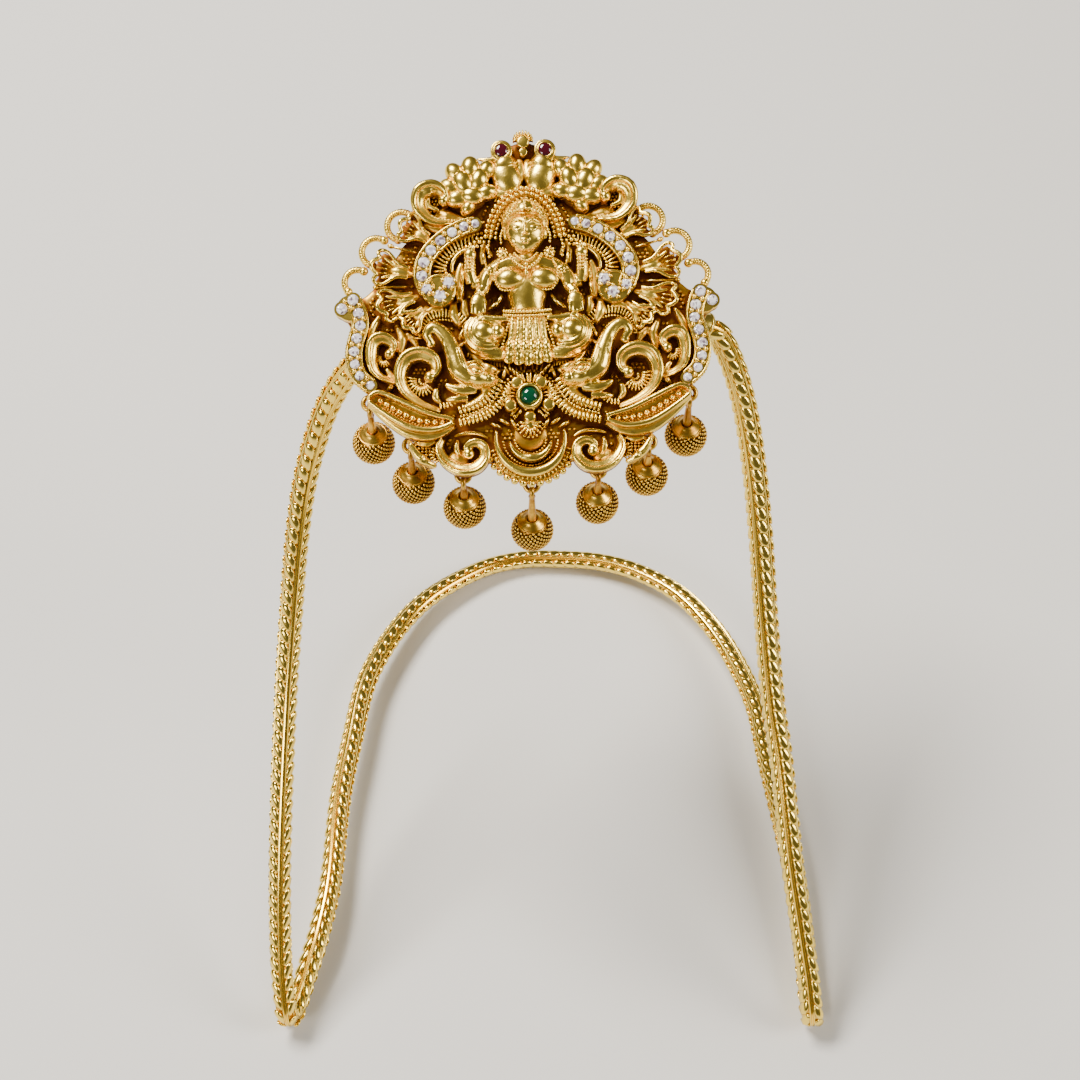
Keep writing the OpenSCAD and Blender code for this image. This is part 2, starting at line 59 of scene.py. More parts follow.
def pick(objects):
    deselect()
    for o in objects:
        o.select_set(True)
    bpy.context.view_layer.objects.active = objects[0]


def edit_mode():
    bpy.ops.object.mode_set(mode="EDIT")
    bpy.ops.mesh.select_all(action="SELECT")


def object_mode():
    bpy.ops.object.mode_set(mode="OBJECT")


def face_outwards():
    """Turns every face of the mesh in edit mode outwards, and leaves the mode."""
    bpy.ops.mesh.select_all(action="SELECT")
    bpy.ops.mesh.normals_make_consistent(inside=False)
    object_mode()


def added(add, location=(0, 0, 0), **values):
    """Adds a ready shape with nothing else selected."""
    deselect()
    add(location=location, **values)
    return bpy.context.object


def join(objects, name):
    pick(objects)
    if len(objects) > 1:
        bpy.ops.object.join()
    whole = bpy.context.object
    whole.name = name
    whole.data.name = name
    return whole


def apply_here(o):
    pick([o])
    bpy.ops.object.transform_apply(location=True, rotation=True, scale=True)
    return o


def smooth_shade(o, angle=None):
    pick([o])
    if angle is None:
        bpy.ops.object.shade_smooth()
    else:
        bpy.ops.object.shade_smooth_by_angle(angle=math.radians(angle))
    return o


def modified(o, kind, **values):
    pick([o])
    bpy.ops.object.modifier_add(type=kind)
    m = o.modifiers[-1]
    for k, v in values.items():
        setattr(m, k, v)
    bpy.ops.object.modifier_apply(modifier=m.name)
    return o


def trimmed(o, level, upper=False):
    """Cuts a piece level and closes it: its lower part is taken away, or its upper one."""
    pick([o])
    edit_mode()
    bpy.ops.mesh.bisect(plane_co=(0, 0, level), plane_no=(0, 0, 1), use_fill=True,
                        clear_inner=not upper, clear_outer=upper)
    object_mode()
    return o


def cast(parts, name, grain=0.12, soften=2, foot=BASE - 0.05, thin=0.46):
    """Melts the parts into one casting, softens it, thins its mesh, and cuts it level at its foot."""
    whole = apply_here(join(parts, name))
    modified(whole, "REMESH", mode="VOXEL", voxel_size=grain, use_smooth_shade=True)
    modified(whole, "SMOOTH", factor=0.5, iterations=soften)
    modified(whole, "DECIMATE", ratio=thin)
    return trimmed(whole, foot)


# Lines
def through(points, per=5):
    """Smooth line through the given points."""
    p = np.array([list(q) + [0.0] * (3 - len(q)) for q in points], float)
    last = len(p) - 1
    line = []
    for i in range(last):
        a, b, c, d = p[max(i - 1, 0)], p[i], p[i + 1], p[min(i + 2, last)]
        for k in range(per):
            t = k / per
            line.append(0.5 * (2 * b + (c - a) * t + (2 * a - 5 * b + 4 * c - d) * t * t
                               + (3 * b - a - 3 * c + d) * t ** 3))
    line.append(p[-1])
    return np.array(line)


def run_of(line):
    """How far along the line each of its points lies."""
    return np.concatenate([[0], np.cumsum(np.linalg.norm(np.diff(line, axis=0), axis=1))])


def spaced(line, gap):
    """Places at equal steps along a line, each with the line's heading."""
    line = np.asarray(line, float)
    run = run_of(line)
    count = max(1, int(round(run[-1] / gap)))
    out = []
    for i in range(count + 1):
        s = run[-1] * i / count
        k = min(max(int(np.searchsorted(run, s)) - 1, 0), len(line) - 2)
        way = line[k + 1] - line[k]
        share = (s - run[k]) / max(run[k + 1] - run[k], TINY)
        out.append((line[k] + way * share, math.atan2(way[1], way[0])))
    return out


def shifted(line, by):
    """The line moved sideways, to its left, in the plane of the plate."""
    line = np.asarray(line, float)
    way = np.gradient(line, axis=0)
    way /= np.maximum(np.linalg.norm(way[:, :2], axis=1), TINY)[:, None]
    out = line.copy()
    out[:, 0] -= way[:, 1] * by
    out[:, 1] += way[:, 0] * by
    return out


def lifted(ground, line, side=1):
    """The line with its heights counted from the ground, and mirrored when side is -1."""
    return [(side * x, y, ground + z) for x, y, z in line]


def arch(half):
    """Symmetric line from its middle point and its right half."""
    return [(-p[0], *p[1:]) for p in half[:0:-1]] + half


def arc(cx, cy, r, first, last, count, n=0.0):
    angles = [math.radians(first + (last - first) * i / count) for i in range(count + 1)]
    return [(cx + r * math.cos(a), cy + r * math.sin(a), n) for a in angles]


def along(count, stations, values):
    """Values for every point of a line, from a few stations between its start, 0, and its end, 1."""
    return np.interp(np.linspace(0, 1, count), stations, values)


def spread(widths, count):
    """Half widths along a line from one number, a list, or (first, widest, last, where widest)."""
    if isinstance(widths, tuple):
        first, widest, last = widths[:3]
        peak = widths[3] if len(widths) > 3 else 0.5
        s = np.linspace(0, 1, count)
        up = first + (widest - first) * np.sin(np.pi / 2 * np.clip(s / peak, 0, 1))
        down = last + (widest - last) * np.sin(np.pi / 2 * np.clip((1 - s) / (1 - peak), 0, 1))
        widths = np.where(s <= peak, up, down)
    return np.broadcast_to(widths, (count,)).astype(float)


# Forms
def rod(line, widths, tall=0.0, sides=3, per=4):
    """Rod along a line; widths are its half widths, and tall stretches it out of the plate."""
    line = through(line, per)
    rail = added(bpy.ops.curve.primitive_nurbs_path_add)
    curve = rail.data
    spline = curve.splines[0]
    spline.type = "POLY"
    spline.points.add(len(line) - len(spline.points))
    for knot, at, r in zip(spline.points, line, spread(widths, len(line))):
        knot.co = (*at, 1)
        knot.radius = r
    spline.use_cyclic_u = False
    curve.dimensions = "3D"
    curve.twist_mode = "Z_UP"
    curve.bevel_depth = 1
    curve.bevel_resolution = sides
    curve.extrude = tall
    curve.use_fill_caps = True
    pick([rail])
    bpy.ops.object.convert(target="MESH")
    edit_mode()
    bpy.ops.mesh.remove_doubles(threshold=WELD)
    object_mode()
    return bpy.context.object


def wall(line, widths, top, tall=1.0, per=4):
    """Scroll that stands on the plate: its crown is at height top, lower where it is narrow."""
    line = through(line, per)
    widths = spread(widths, len(line))
    line[:, 2] = top - widths * (1 + tall)
    return rod(line, widths, tall, per=1)


def fluted(line, widths, stations, tops, outer=1):
    """Scroll with a thin crest on its outer side: 1 for the left of the line, -1 for the right."""
    path = through(line, 4)
    widths = spread(widths, len(path))
    top = along(len(path), stations, tops)
    crest = shifted(path, outer * widths * 0.56)
    return [wall(path, widths, top - 0.55 * widths, tall=1.2, per=1),
            wall(crest, widths * 0.44, top, tall=2.4, per=1)]


def egg(at, half, turn=0, segments=20):
    return added(bpy.ops.mesh.primitive_uv_sphere_add, at, radius=1, segments=segments,
                 ring_count=max(6, segments * 2 // 3), rotation=(0, 0, math.radians(turn)), scale=half)


def bar(ground, line, widths, side=1, **how):
    """Rod with its heights counted from the ground; side -1 mirrors it."""
    return rod(lifted(ground, line, side), widths, **how)


def ball(ground, at, half, side=1, turn=0, segments=20):
    """Egg with its height counted from the ground; side -1 mirrors it."""
    return egg(lifted(ground, [at], side)[0], half, side * turn, segments)


def drum(x, y, r, low, high, sides=20):
    return added(bpy.ops.mesh.primitive_cylinder_add, (x, y, (low + high) / 2), vertices=sides, radius=r,
                 depth=high - low)


def disc(at, r, h, edge, sides=32):
    """Low drum with its upper edge rounded by edge; at is the middle of its foot."""
    low_drum = drum(at[0], at[1], r, at[2], at[2] + h, sides)
    bpy.ops.object.mode_set(mode="EDIT")
    mesh = bmesh.from_edit_mesh(low_drum.data)
    for e in mesh.edges:
        e.select = all(v.co.z > 0 for v in e.verts)
    mesh.select_flush_mode()
    bmesh.update_edit_mesh(low_drum.data)
    bpy.ops.mesh.bevel(offset=edge, segments=3, affect="EDGES")
    object_mode()
    return low_drum


def hoop(at, r, wire, sides, turn=(0, 0, 0), round_sides=10):
    return added(bpy.ops.mesh.primitive_torus_add, at, rotation=turn, major_radius=r, minor_radius=wire,
                 major_segments=sides, minor_segments=round_sides)


def panel(outline, foot, top):
    """Flat shape raised from foot to top."""
    slab = added(bpy.ops.mesh.primitive_circle_add, vertices=len(outline), radius=1, fill_type="NGON")
    for v, at in zip(slab.data.vertices, outline):
        v.co = (at[0], at[1], foot)
    edit_mode()
    bpy.ops.mesh.extrude_region_move(TRANSFORM_OT_translate={"value": (0, 0, top - foot)})
    face_outwards()
    return slab


def sheet_of(columns, rows, where, name, capped=True):
    """Grid of points laid where the rule says, sewn up along its side; capped fills its two ends."""
    skin = added(bpy.ops.mesh.primitive_grid_add, x_subdivisions=columns, y_subdivisions=rows, size=2)
    for v in skin.data.vertices:
        v.co = where(round((v.co.x + 1) / 2 * columns), round((v.co.y + 1) / 2 * rows))
    edit_mode()
    bpy.ops.mesh.remove_doubles(threshold=WELD)
    if capped:
        bpy.ops.mesh.fill_holes(sides=0)
    face_outwards()
    skin.name = name
    return skin


def turned_shape(outline, sides, name):
    """Round body from the (radius, height) points of its outline."""
    def point(i, k):
        r, z = outline[i]
        a = 2 * math.pi * k / sides
        return r * math.cos(a), r * math.sin(a), z

    return smooth_shade(sheet_of(len(outline) - 1, sides, point, name, capped=False), 50)


# Grains and short ribs: a spot is (place, radius) or (place, (half sizes), turn)
def place(at, size, turn=0.0):
    size = size if isinstance(size, tuple) else (size,) * 3
    return Matrix.Translation(at) @ Matrix.Rotation(turn, 4, "Z") @ Matrix.Diagonal((*size, 1))


def copies(seed, places, name):
    """One mesh that holds a copy of the seed at each place; the seed itself goes."""
    points = np.array([v.co for v in seed.data.vertices])
    faces = [list(f.vertices) for f in seed.data.polygons]
    corners = [points @ np.array(m)[:3, :3].T + np.array(m)[:3, 3] for m in places]
    numbered = [[i + k * len(points) for i in face] for k in range(len(places)) for face in faces]
    mesh = bpy.data.meshes.new(name)
    mesh.from_pydata(np.concatenate(corners).tolist(), [], numbered)
    mesh.update()
    mesh.polygons.foreach_set("use_smooth", [p.use_smooth for p in seed.data.polygons] * len(places))
    whole = bpy.data.objects.new(name, mesh)
    bpy.context.scene.collection.objects.link(whole)
    bpy.data.objects.remove(seed)
    return whole


def grain_seed(segments, rings):
    seed = added(bpy.ops.mesh.primitive_uv_sphere_add, segments=segments, ring_count=rings, radius=1)
    return smooth_shade(seed)


def grains(spots, segments=8, rings=5):
    """Soldered grains; spots more than twice as long as wide become ribs with blunt ends."""
    round_ones, long_ones = [], []
    for spot in spots:
        size = spot[1]
        is_long = isinstance(size, tuple) and size[0] > 2 * size[1]
        (long_ones if is_long else round_ones).append(place(*spot))
    made = [copies(grain_seed(segments, rings), round_ones, "grains")] if round_ones else []
    if long_ones:
        rib = grain_seed(segments, rings)
        for v in rib.data.vertices:
            v.co.x = math.copysign(abs(v.co.x) ** 0.45, v.co.x)
        made.append(copies(rib, long_ones, "ribs"))
    return join(made, "grains")


def beads(line, gap, r, n=None):
    """Spots along a ready line, at height n or at the line's own."""
    return [((p[0], p[1], p[2] if n is None else n), r) for p, _way in spaced(line, gap)]


def row(line, gap, r, n=None):
    """Spots along a smooth line through the points; n counts from the plate's face."""
    return beads(through(line), gap, r, None if n is None else BASE + n)


def ribs(line, gap, reach, r, n, tall=1.2, skew=0.0):
    """Spots for short ribs set across a smooth line; n counts from the plate's face."""
    return [((p[0], p[1], BASE + n), (reach / 2, r, r * tall), way + math.pi / 2 + skew)
            for p, way in spaced(through(line), gap)]


def wreath(at, reach, steps, size, turned=False, side=1):
    """Spots round an oval; steps are (first, last, count) in degrees, and turned ones point outwards."""
    rx, ry = reach if isinstance(reach, tuple) else (reach, reach)
    spots = []
    for a in np.radians(np.linspace(*steps)):
        turn = (a if side > 0 else math.pi - a) if turned else 0.0
        spots.append(((at[0] + side * rx * math.cos(a), at[1] + ry * math.sin(a), at[2]), size, turn))
    return spots


# Finished pieces
def keep(o, node, slot="antique_gold"):
    """Notes a finished piece with the node that it stands for and its finish."""
    PIECES.append((o, node, slot))
    return o


def both(parts, node, ending="cast", slot="antique_gold"):
    """Joins the parts of a piece of the right half, and makes its mirror image for the left half."""
    right = apply_here(join(parts, node + "_right_" + ending))
    left = right.copy()
    left.data = right.data.copy()
    bpy.context.scene.collection.objects.link(left)
    left.name = node + "_left_" + ending
    left.data.transform(Matrix.Diagonal((-1, 1, 1, 1)))
    left.data.flip_normals()
    keep(right, node + "_right", slot)
    keep(left, node + "_left", slot)


# Lines of the relief on the right half; the left half is its mirror image
PLATE_EDGE = [(0, 26.2), (2.2, 25.6), (4, 24.9), (4.9, 23.2), (7.4, 22.2), (9.4, 21.2), (10.3, 19.6),
              (12.3, 19.4), (13.9, 18.6), (14.3, 16.6), (14.4, 15), (15.2, 13.4), (16.6, 12.2),
              (17.4, 10.8), (18.6, 9.6), (20, 8), (20.6, 6.4), (22, 5.2), (24.2, 4.6), (25.2, 3.2),
              (24.2, 1.6), (23.6, 0.4), (24.1, -1.2), (24.3, -3.4), (23.9, -5.4), (22.6, -7.4),
              (21, -8.7), (19.2, -10.4), (17.4, -12.2), (16.6, -14.2), (15.4, -16.2), (13.2, -17.3),
              (11, -17.6), (9.4, -18.2), (7, -17.9), (5.4, -17.8), (4.2, -19.2), (2, -20.4), (0, -20.7)]
HORN = [(9.8, 14.9), (12.4, 15.1), (14.2, 16.8), (14, 18.8), (12.4, 19.5), (11.1, 18.8), (10.8, 17.7)]
TRUNK = [(12.9, -1.6), (13.5, -0.6), (12.6, 0.3), (11.1, -0.8), (10, -3.2), (9.3, -5.4), (7.6, -6.6)]
SMALL_C = [(18.5, -2.9), (18.1, -1.7), (19.3, -0.8), (20.6, -1.2), (21, -2.9), (20.8, -4.8), (19.8, -6),
           (17.8, -6.8)]
BIG_C = [(13.3, -6.2), (12.4, -5.2), (12.8, -3.8), (14.6, -3.1), (16.4, -3.8), (17.2, -5.9), (16.6, -8),
         (14.6, -9.7), (12, -10.7)]
LEAF_UP = [(21.5, -9.1), (20, -8.3), (16.6, -9.8), (13.4, -11.3), (10.1, -12.2)]
LEAF_LOW = [(21.5, -9.4), (18.9, -11.7), (16.3, -13.4), (14, -13.9), (12, -13.6), (10.1, -12.6)]
SCROLL_LOW = [(11.7, -14.5), (12.2, -15.9), (11.3, -17.7), (9.4, -18.8), (7.4, -18.6), (6.2, -17.3),
              (6.3, -15.9), (7.4, -15.3), (8.5, -15.8), (8.3, -16.7)]
HALO = arch([(0, 18.6), (1.8, 18), (3.4, 16.4), (4.4, 14.2), (4.7, 12.6)])

# Set stones: across, up, diameter
CRESCENT = [(6.7, 14.3, 1.2), (8.2, 13.95, 1.35), (9.8, 13.2, 1.45), (11.4, 12.1, 1.5), (12.7, 10.8, 1.55),
            (13.7, 9.2, 1.6), (14, 7.35, 1.6), (13.4, 5.6, 1.6), (11.6, 4.6, 1.75), (10.4, 6.4, 1.75)]
CURL = [(24.8, 3.2, 1.6), (23.3, 4.4, 1.6), (22.6, 2.6, 1.55), (22.4, 0.9, 1.5), (22.9, -0.8, 1.5),
        (23.3, -2.6, 1.5), (23.2, -4.3, 1.4), (22.6, -5.9, 1.35), (21.2, -7.2, 1.25)]
CRESCENT_TOP, CURL_TOP = 3.8, 3.4
# Wire loops: across, up, radius, first and last angle
LOOPS = [(16.7, 14.7, 2, 140, -75), (20.2, 11.2, 2, 125, -75), (22.8, 7.1, 1.8, 120, -45)]
# Lily fans: across, up, turn, reach, half width
FANS = [(13, 12.6, 30, 3.6, 1.95), (15.6, 8, 12, 4.4, 2.25), (15, 4.8, -18, 4.4, 2.1),
        (13.7, 3.1, -43, 3.2, 1.6)]
# Hanging beads: across and up of their rings, and how far the bead's middle hangs below
DROPS = [(-21.6, -10, 7.4), (-16.2, -15.9, 7), (-9.2, -20.1, 6), (0, -21.6, 9.2),
         (9, -19.9, 6), (15.9, -16.2, 6), (21.6, -9.7, 8)]
EYE = 0.9
PLATE_THICK = 1.2


# The cast plate, with the rings for its drops
def make_plate():
    plate = panel(arch(PLATE_EDGE[:-1])[::-1] + PLATE_EDGE[-1:], 0, PLATE_THICK)
    cutters = [drum(s * x, y, r - 0.38, -3, 3, 24) for s in SIDES for x, y, r, _first, _last in LOOPS]
    cutters += [drum(x, y + EYE, EYE, -3, 3) for x, y, _hang in DROPS]
    cutter = join(cutters, "hole_cutter")
    modified(plate, "BOOLEAN", operation="DIFFERENCE", object=cutter, solver="EXACT")
    bpy.data.objects.remove(cutter)
    modified(plate, "REMESH", mode="VOXEL", voxel_size=0.34, use_smooth_shade=True)
    modified(plate, "SMOOTH", factor=0.5, iterations=2)
    eyes = [hoop((x, y + EYE, -0.1), EYE, 0.35, sides=24, round_sides=12) for x, y, _hang in DROPS]
    return keep(join([plate, *map(smooth_shade, eyes)], "plate_with_rings"), "plaque_plate")


# Halo of three rows of grains behind the head
def make_halo():
    band = cast([wall(HALO, (0.6, 0.85, 0.6), 2.9, tall=0.6)], "halo_arch")
    line = through(HALO, 6)
    spots = []
    for by, r, gap, n in ((0.62, 0.36, 0.74, 3.0), (-0.08, 0.34, 0.7, 3.2), (-0.72, 0.3, 0.62, 2.8)):
        spots += beads(shifted(line, by), gap, r, n)
    for s in SIDES:
        spots += wreath((s * 6.2, 11.9, 3.1), 0.62, (0, 300, 6), 0.26, side=s)
        spots.append(((s * 6.2, 11.9, 3.4), 0.32))
        spots += row([(s * 4.75, 12.4, 3.1), (s * 5.0, 11.2, 3.2), (s * 4.9, 9.9, 3.1)], 0.5, 0.24)
    keep(join([band, grains(spots)], "halo_of_grains"), "halo")


# Seated goddess in traditional form; heights count from the middle of her body, and those of the face
# from her brow
BODY = BASE + 1.6
BROW = BODY + 3.28
PLEATS = (-2.5, -1.5, -0.5, 0.5, 1.5, 2.5)
HEMS = (-2, -1, 0, 1, 2)


def torso():
    form = egg((0, 0, 0), (1, 1, 1), segments=40)
    for v in form.data.vertices:
        y = 4.9 + 4.3 * v.co.y
        half = np.interp(y, [0.4, 1.6, 3.4, 5.4, 8, 9.4], [2.9, 3.0, 2.55, 2.7, 3.6, 2.4])
        v.co = (v.co.x * half, y, BODY - 0.3 + v.co.z * 2.0)
    return form


def limbs(s):
    """Breast, arms, hands, knee and folds on one side."""
    parts = [ball(BODY, (2.25, 6.6, 0.95), (2.15, 1.6, 1.55), s, -6),
             bar(BODY, [(4.5, 8.1, 0), (5.4, 6.9, 0), (5.7, 5.6, 0.2)], (1.25, 1.15, 0.95), s),
             bar(BODY, [(5.7, 5.6, 0.2), (6.2, 4.9, 0.7), (6.5, 4.5, 1.0)], (0.92, 0.8, 0.62), s),
             ball(BODY, (6.5, 3.4, 1.3), (1.15, 1.4, 0.6), s, 8),
             bar(BODY, [(4.2, 7.6, -0.7), (5.9, 6.3, -0.7), (7.3, 6.6, -0.4)], (0.95, 0.9, 0.8), s),
             bar(BODY, [(7.3, 6.5, -0.4), (7.6, 8, -0.1), (7.5, 9.6, 0)], (0.92, 0.86, 0.66), s),
             ball(BODY, (7.5, 10.3, 0.1), (0.85, 0.9, 0.65), s),
             ball(BODY, (5.2, -0.5, 0.1), (2.7, 2.1, 1.25), s, -10),
             ball(BODY, (5.9, -0.35, 0.9), (1.6, 1.5, 1.3), s),
             ball(BODY, (3.95, -0.45, 1.0), (0.95, 1.1, 1.1), s),
             bar(BODY, [(8.0, -0.6, -0.2), (7.0, -2.3, -0.1), (4.8, -3.2, 0), (2, -3.4, -0.4)],
                 (1.0, 1.15, 0.8), s),
             bar(BODY, [(8.0, 0.4, 0.3), (6.6, 1.5, 0.7), (4.4, 1.3, 0.9), (2.6, 1.2, 1.1)],
                 (0.3, 0.5, 0.35), s)]
    for wide, high, n, first in ((2.1, 1.75, 1.35, 70), (2.6, 2.25, 1.1, 58), (3.15, 2.75, 0.75, 46)):
        fold = [(5.2 + wide * math.cos(a), -0.35 + high * math.sin(a), n)
                for a in np.radians(np.arange(first, -136, -15))]
        parts.append(bar(BODY, fold, (0.14, 0.36, 0.12), s, tall=0.25, per=2))
    for x, tip in ((-0.62, 2.0), (-0.21, 1.84), (0.21, 1.84), (0.62, 2.0)):
        finger = [(6.5 + x * 1.15, 3.3, 1.65), (6.55 + x * 1.35, tip, 1.35)]
        parts.append(bar(BODY, finger, (0.29, 0.27, 0.18), s))
    return parts


def skirt():
    """Pleats with scalloped ends, in two tiers."""
    parts = []
    for a in PLEATS:
        out = BODY + 1.7 - 0.11 * a * a
        parts.append(bar(out, [(0.78 * a, 1.6, 0), (0.84 * a, -0.4, 0.25), (0.95 * a, -2.2, 0.1)],
                         (0.36, 0.42, 0.42)))
        parts.append(ball(out, (a, -2.75 + 0.04 * a * a, 0.1), (0.56, 0.95, 0.8)))
    for a in HEMS:
        out = BODY + 1.3 - 0.14 * a * a
        edge = -4.75 + 0.1 * a * a
        parts.append(ball(out, (1.3 * a, -4.0 + 0.08 * a * a, 0), (0.72, 1.05, 0.9), turn=9 * a))
        parts.append(bar(out, [(1.3 * a - 0.62, edge, -0.05), (1.34 * a, edge - 0.3, 0.3),
                               (1.3 * a + 0.62, edge, -0.05)], (0.16, 0.26, 0.16)))
    return parts


def face():
    head = apply_here(ball(BODY, (0, 12.75, 1.3), (2.72, 2.95, 2.1), segments=40))
    for v in head.data.vertices:
        low = min(max((12.75 - v.co.y) / 2.9, 0), 1)
        v.co.x *= 1 - 0.2 * low ** 1.5
    parts = [head, ball(BODY, (0, 10.55, 2.35), (0.62, 0.42, 0.42)),
             bar(BROW, [(0, 13.6, 0), (0, 12.75, 0.32), (0, 12.15, 0.52)], (0.16, 0.25, 0.36, 0.9)),
             bar(BROW, arch([(0, 11.42, 0), (0.3, 11.4, -0.02), (0.75, 11.5, -0.3)]), (0.07, 0.16, 0.07)),
             ball(BROW, (0, 11.1, -0.2), (0.46, 0.16, 0.24))]
    for s in SIDES:
        brow = [(0.34, 13.75, 0.02), (1.1, 14.1, -0.05), (2.0, 13.7, -0.5)]
        lid = [(0.42, 12.95, -0.06), (1.1, 12.68, 0), (1.8, 12.98, -0.42)]
        parts += [bar(BROW, brow, (0.09, 0.17, 0.07), s), bar(BROW, lid, (0.05, 0.12, 0.05), s),
                  ball(BROW, (1.12, 13.1, -0.3), (0.74, 0.36, 0.4), s),
                  ball(BROW, (0.28, 12.14, 0.12), (0.17, 0.14, 0.17), s),
                  ball(BROW, (1.15, 11.8, -0.86), (0.95, 0.9, 0.5), s),
                  ball(BODY, (2.65, 12.7, 1.3), (0.36, 0.85, 0.5), s)]
    return cast(parts, "figure_face", grain=0.07, soften=1, foot=BODY, thin=0.6)


# Bangles: across, step, up, rise, height, sag and size of their four grains
BANGLES = [(5.75, 0.36, y, -0.1, 1.5, 0.14, 0.2) for y in (4.55, 4.9)]
BANGLES += [(4.3, 0.42, y, 0.12, 1.05, 0.12, 0.2) for y in (7.2, 7.6)]
BANGLES += [(6.98, 0.38, y, 0, 0.85, 0.16, (0.22, 0.17, 0.2)) for y in (7.9, 8.35, 8.8, 9.25, 9.7)]


def side_jewels(s):
    """Spots for the strings, ear ring, bangles, flower, skirt hem and leaves on one side."""
    strings = [([(2.2, 15.3, 2.0), (1.2, 16.5, 2.1), (0, 17.5, 1.0)], 0.38, 0.2),
               ([(2.9, 13.4, 1.6), (3.3, 12.4, 1.6), (3.25, 11.5, 1.4)], 0.4, 0.21),
               ([(3.5, 9.4, 1.2), (4.3, 7.2, 1.6), (3.6, 5.2, 1.5), (2.2, 4.9, 1.7)], 0.36, 0.17),
               ([(2.4, 0.9, 1.1), (3.0, -0.9, 1.0), (3.5, -2.6, 0.9)], 0.44, 0.2)]
    spots = []
    for line, gap, r in strings:
        spots += row(lifted(BODY, line, s), gap, r)
    spots += [((s * 3.15, 10.1, BODY + 1.0), (0.78, 0.78, 0.45)), ((s * 3.15, 10.1, BODY + 1.45), 0.3)]
    spots += wreath((s * 3.15, 10.1, BODY + 1.35), 0.64, (0, 320, 9), 0.19)
    for x, step, y, rise, n, sag, size in BANGLES:
        spots += [((s * (x + step * k), y + rise * k, BODY + n - sag * (k - 1.5) ** 2), size)
                  for k in range(4)]
    spots += [((s * 7.45 + 0.4 * x, 11.1 + 0.3 * (1 - abs(x)), BODY + 0.4), (0.3, 0.66, 0.36), -0.45 * x)
              for x in (-1, 0, 1)]
    spots += ribs([(s * 3.4, -4.5), (s * 5.4, -4.3), (s * 8.0, -3.1)], 0.42, 1.1, 0.19, 0.7)
    spots += row([(s * 3.1, -5.3), (s * 5.6, -5.1), (s * 8.5, -3.7)], 0.44, 0.21, 0.45)
    leaves = ((3.7, 4.0, 0.5), (4.5, 3.3, 0.9), (5.0, 10.9, -0.5), (5.6, 9.7, -0.2), (8.7, 5.4, 0.1),
              (8.6, 7.4, 0.05), (9.3, -2.2, 0.9), (8.9, -0.4, 0.5))
    return spots + [((s * x, y, BASE + 1.0), (0.34, 1.25, 0.8), s * turn) for x, y, turn in leaves]


def jewels():
    """Spots for the crown, necklaces, belts and beaded skirt, and for what hangs on each side."""
    spots = [((0, 14.5, BROW - 0.1), 0.18), ((0, 7.2, BODY + 2.3), (0.34, 0.48, 0.3)),
             ((0, 8.25, BODY + 2.3), 0.3)]
    strings = [([(0, 15.65, 3.25), (1.75, 15.2, 2.9), (2.75, 14.2, 2.1)], 0.4, 0.23),
               ([(0, 7.7, 2.4), (1.4, 8.6, 2.1), (2.1, 9.8, 1.35)], 0.46, 0.26),
               ([(0, 8.8, 2.1), (0.8, 9.2, 1.95), (1.5, 9.95, 1.5)], 0.38, 0.2),
               ([(0, 1.9, 2.2), (1.6, 2.0, 1.9), (3.1, 2.35, 0.7)], 0.46, 0.27),
               ([(0, 1.35, 2.2), (1.6, 1.45, 1.9), (3.1, 1.8, 0.7)], 0.4, 0.22)]
    for half, gap, r in strings:
        spots += row(lifted(BODY, arch(half)), gap, r)
    spots += row(lifted(BODY, [(0, 15.9, 3.1), (0, 16.9, 2.2)]), 0.42, 0.22)
    for a in PLEATS:
        spots += [((0.8 * a - 0.05 * a * y, y, BODY + 2.16 - 0.11 * a * a + 0.02 * y), (0.36, 0.2, 0.22))
                  for y in (0.95, 0.35, -0.25, -0.85, -1.45)]
    for a in HEMS:
        y, n = -3.35 + 0.08 * a * a, BODY + 2.0 - 0.14 * a * a
        spots += [((1.3 * a + x, y, n), 0.17) for x in (-0.3, 0, 0.3)]
    for s in SIDES:
        spots += side_jewels(s)
    return spots


def make_figure():
    body = [ball(BODY, (0, 14.3, 0.6), (3.25, 3.3, 1.8)), ball(BODY, (0, 9.8, 0.3), (1.15, 1.4, 1.1)),
            bar(BODY, [(0, 14.9, 1.3), (0, 16.1, 1.2), (0, 17.5, 0.5)], (2.25, 1.7, 0.28, 0.3), sides=8),
            bar(BODY, arch([(0, 9.0, 0.2), (2.6, 8.9, 0.1), (4.6, 7.9, -0.1)]), (1.15, 1.3, 1.15)),
            torso(), *limbs(-1), *limbs(1), *skirt()]
    body = cast(body, "figure_body", soften=1)
    keep(join([body, face(), grains(jewels())], "goddess_cast"), "goddess_figure")


# The crest: finial, birds, buds and horn scrolls
def make_finial():
    fan = [((0, 25.9, BASE + 0.9), (0.95, 0.95, 0.9))]
    fan += wreath((0, 26.12, BASE + 1.0), (1.0, 0.9), (-10, 190, 11), (0.42, 0.15, 0.55), turned=True)
    fan += wreath((0, 26.1, BASE + 0.7), (1.32, 1.15), (-10, 190, 11), (0.14, 0.14, 0.2))
    dots = [disc((0, 25.5, BASE), 0.8, 2.2, edge=0.2), disc((0, 24.2, BASE), 0.55, 2.0, edge=0.16)]
    dots = [smooth_shade(dot, 40) for dot in dots]
    keep(join([*dots, grains(fan, segments=10, rings=6)], "finial_cast"), "finial")


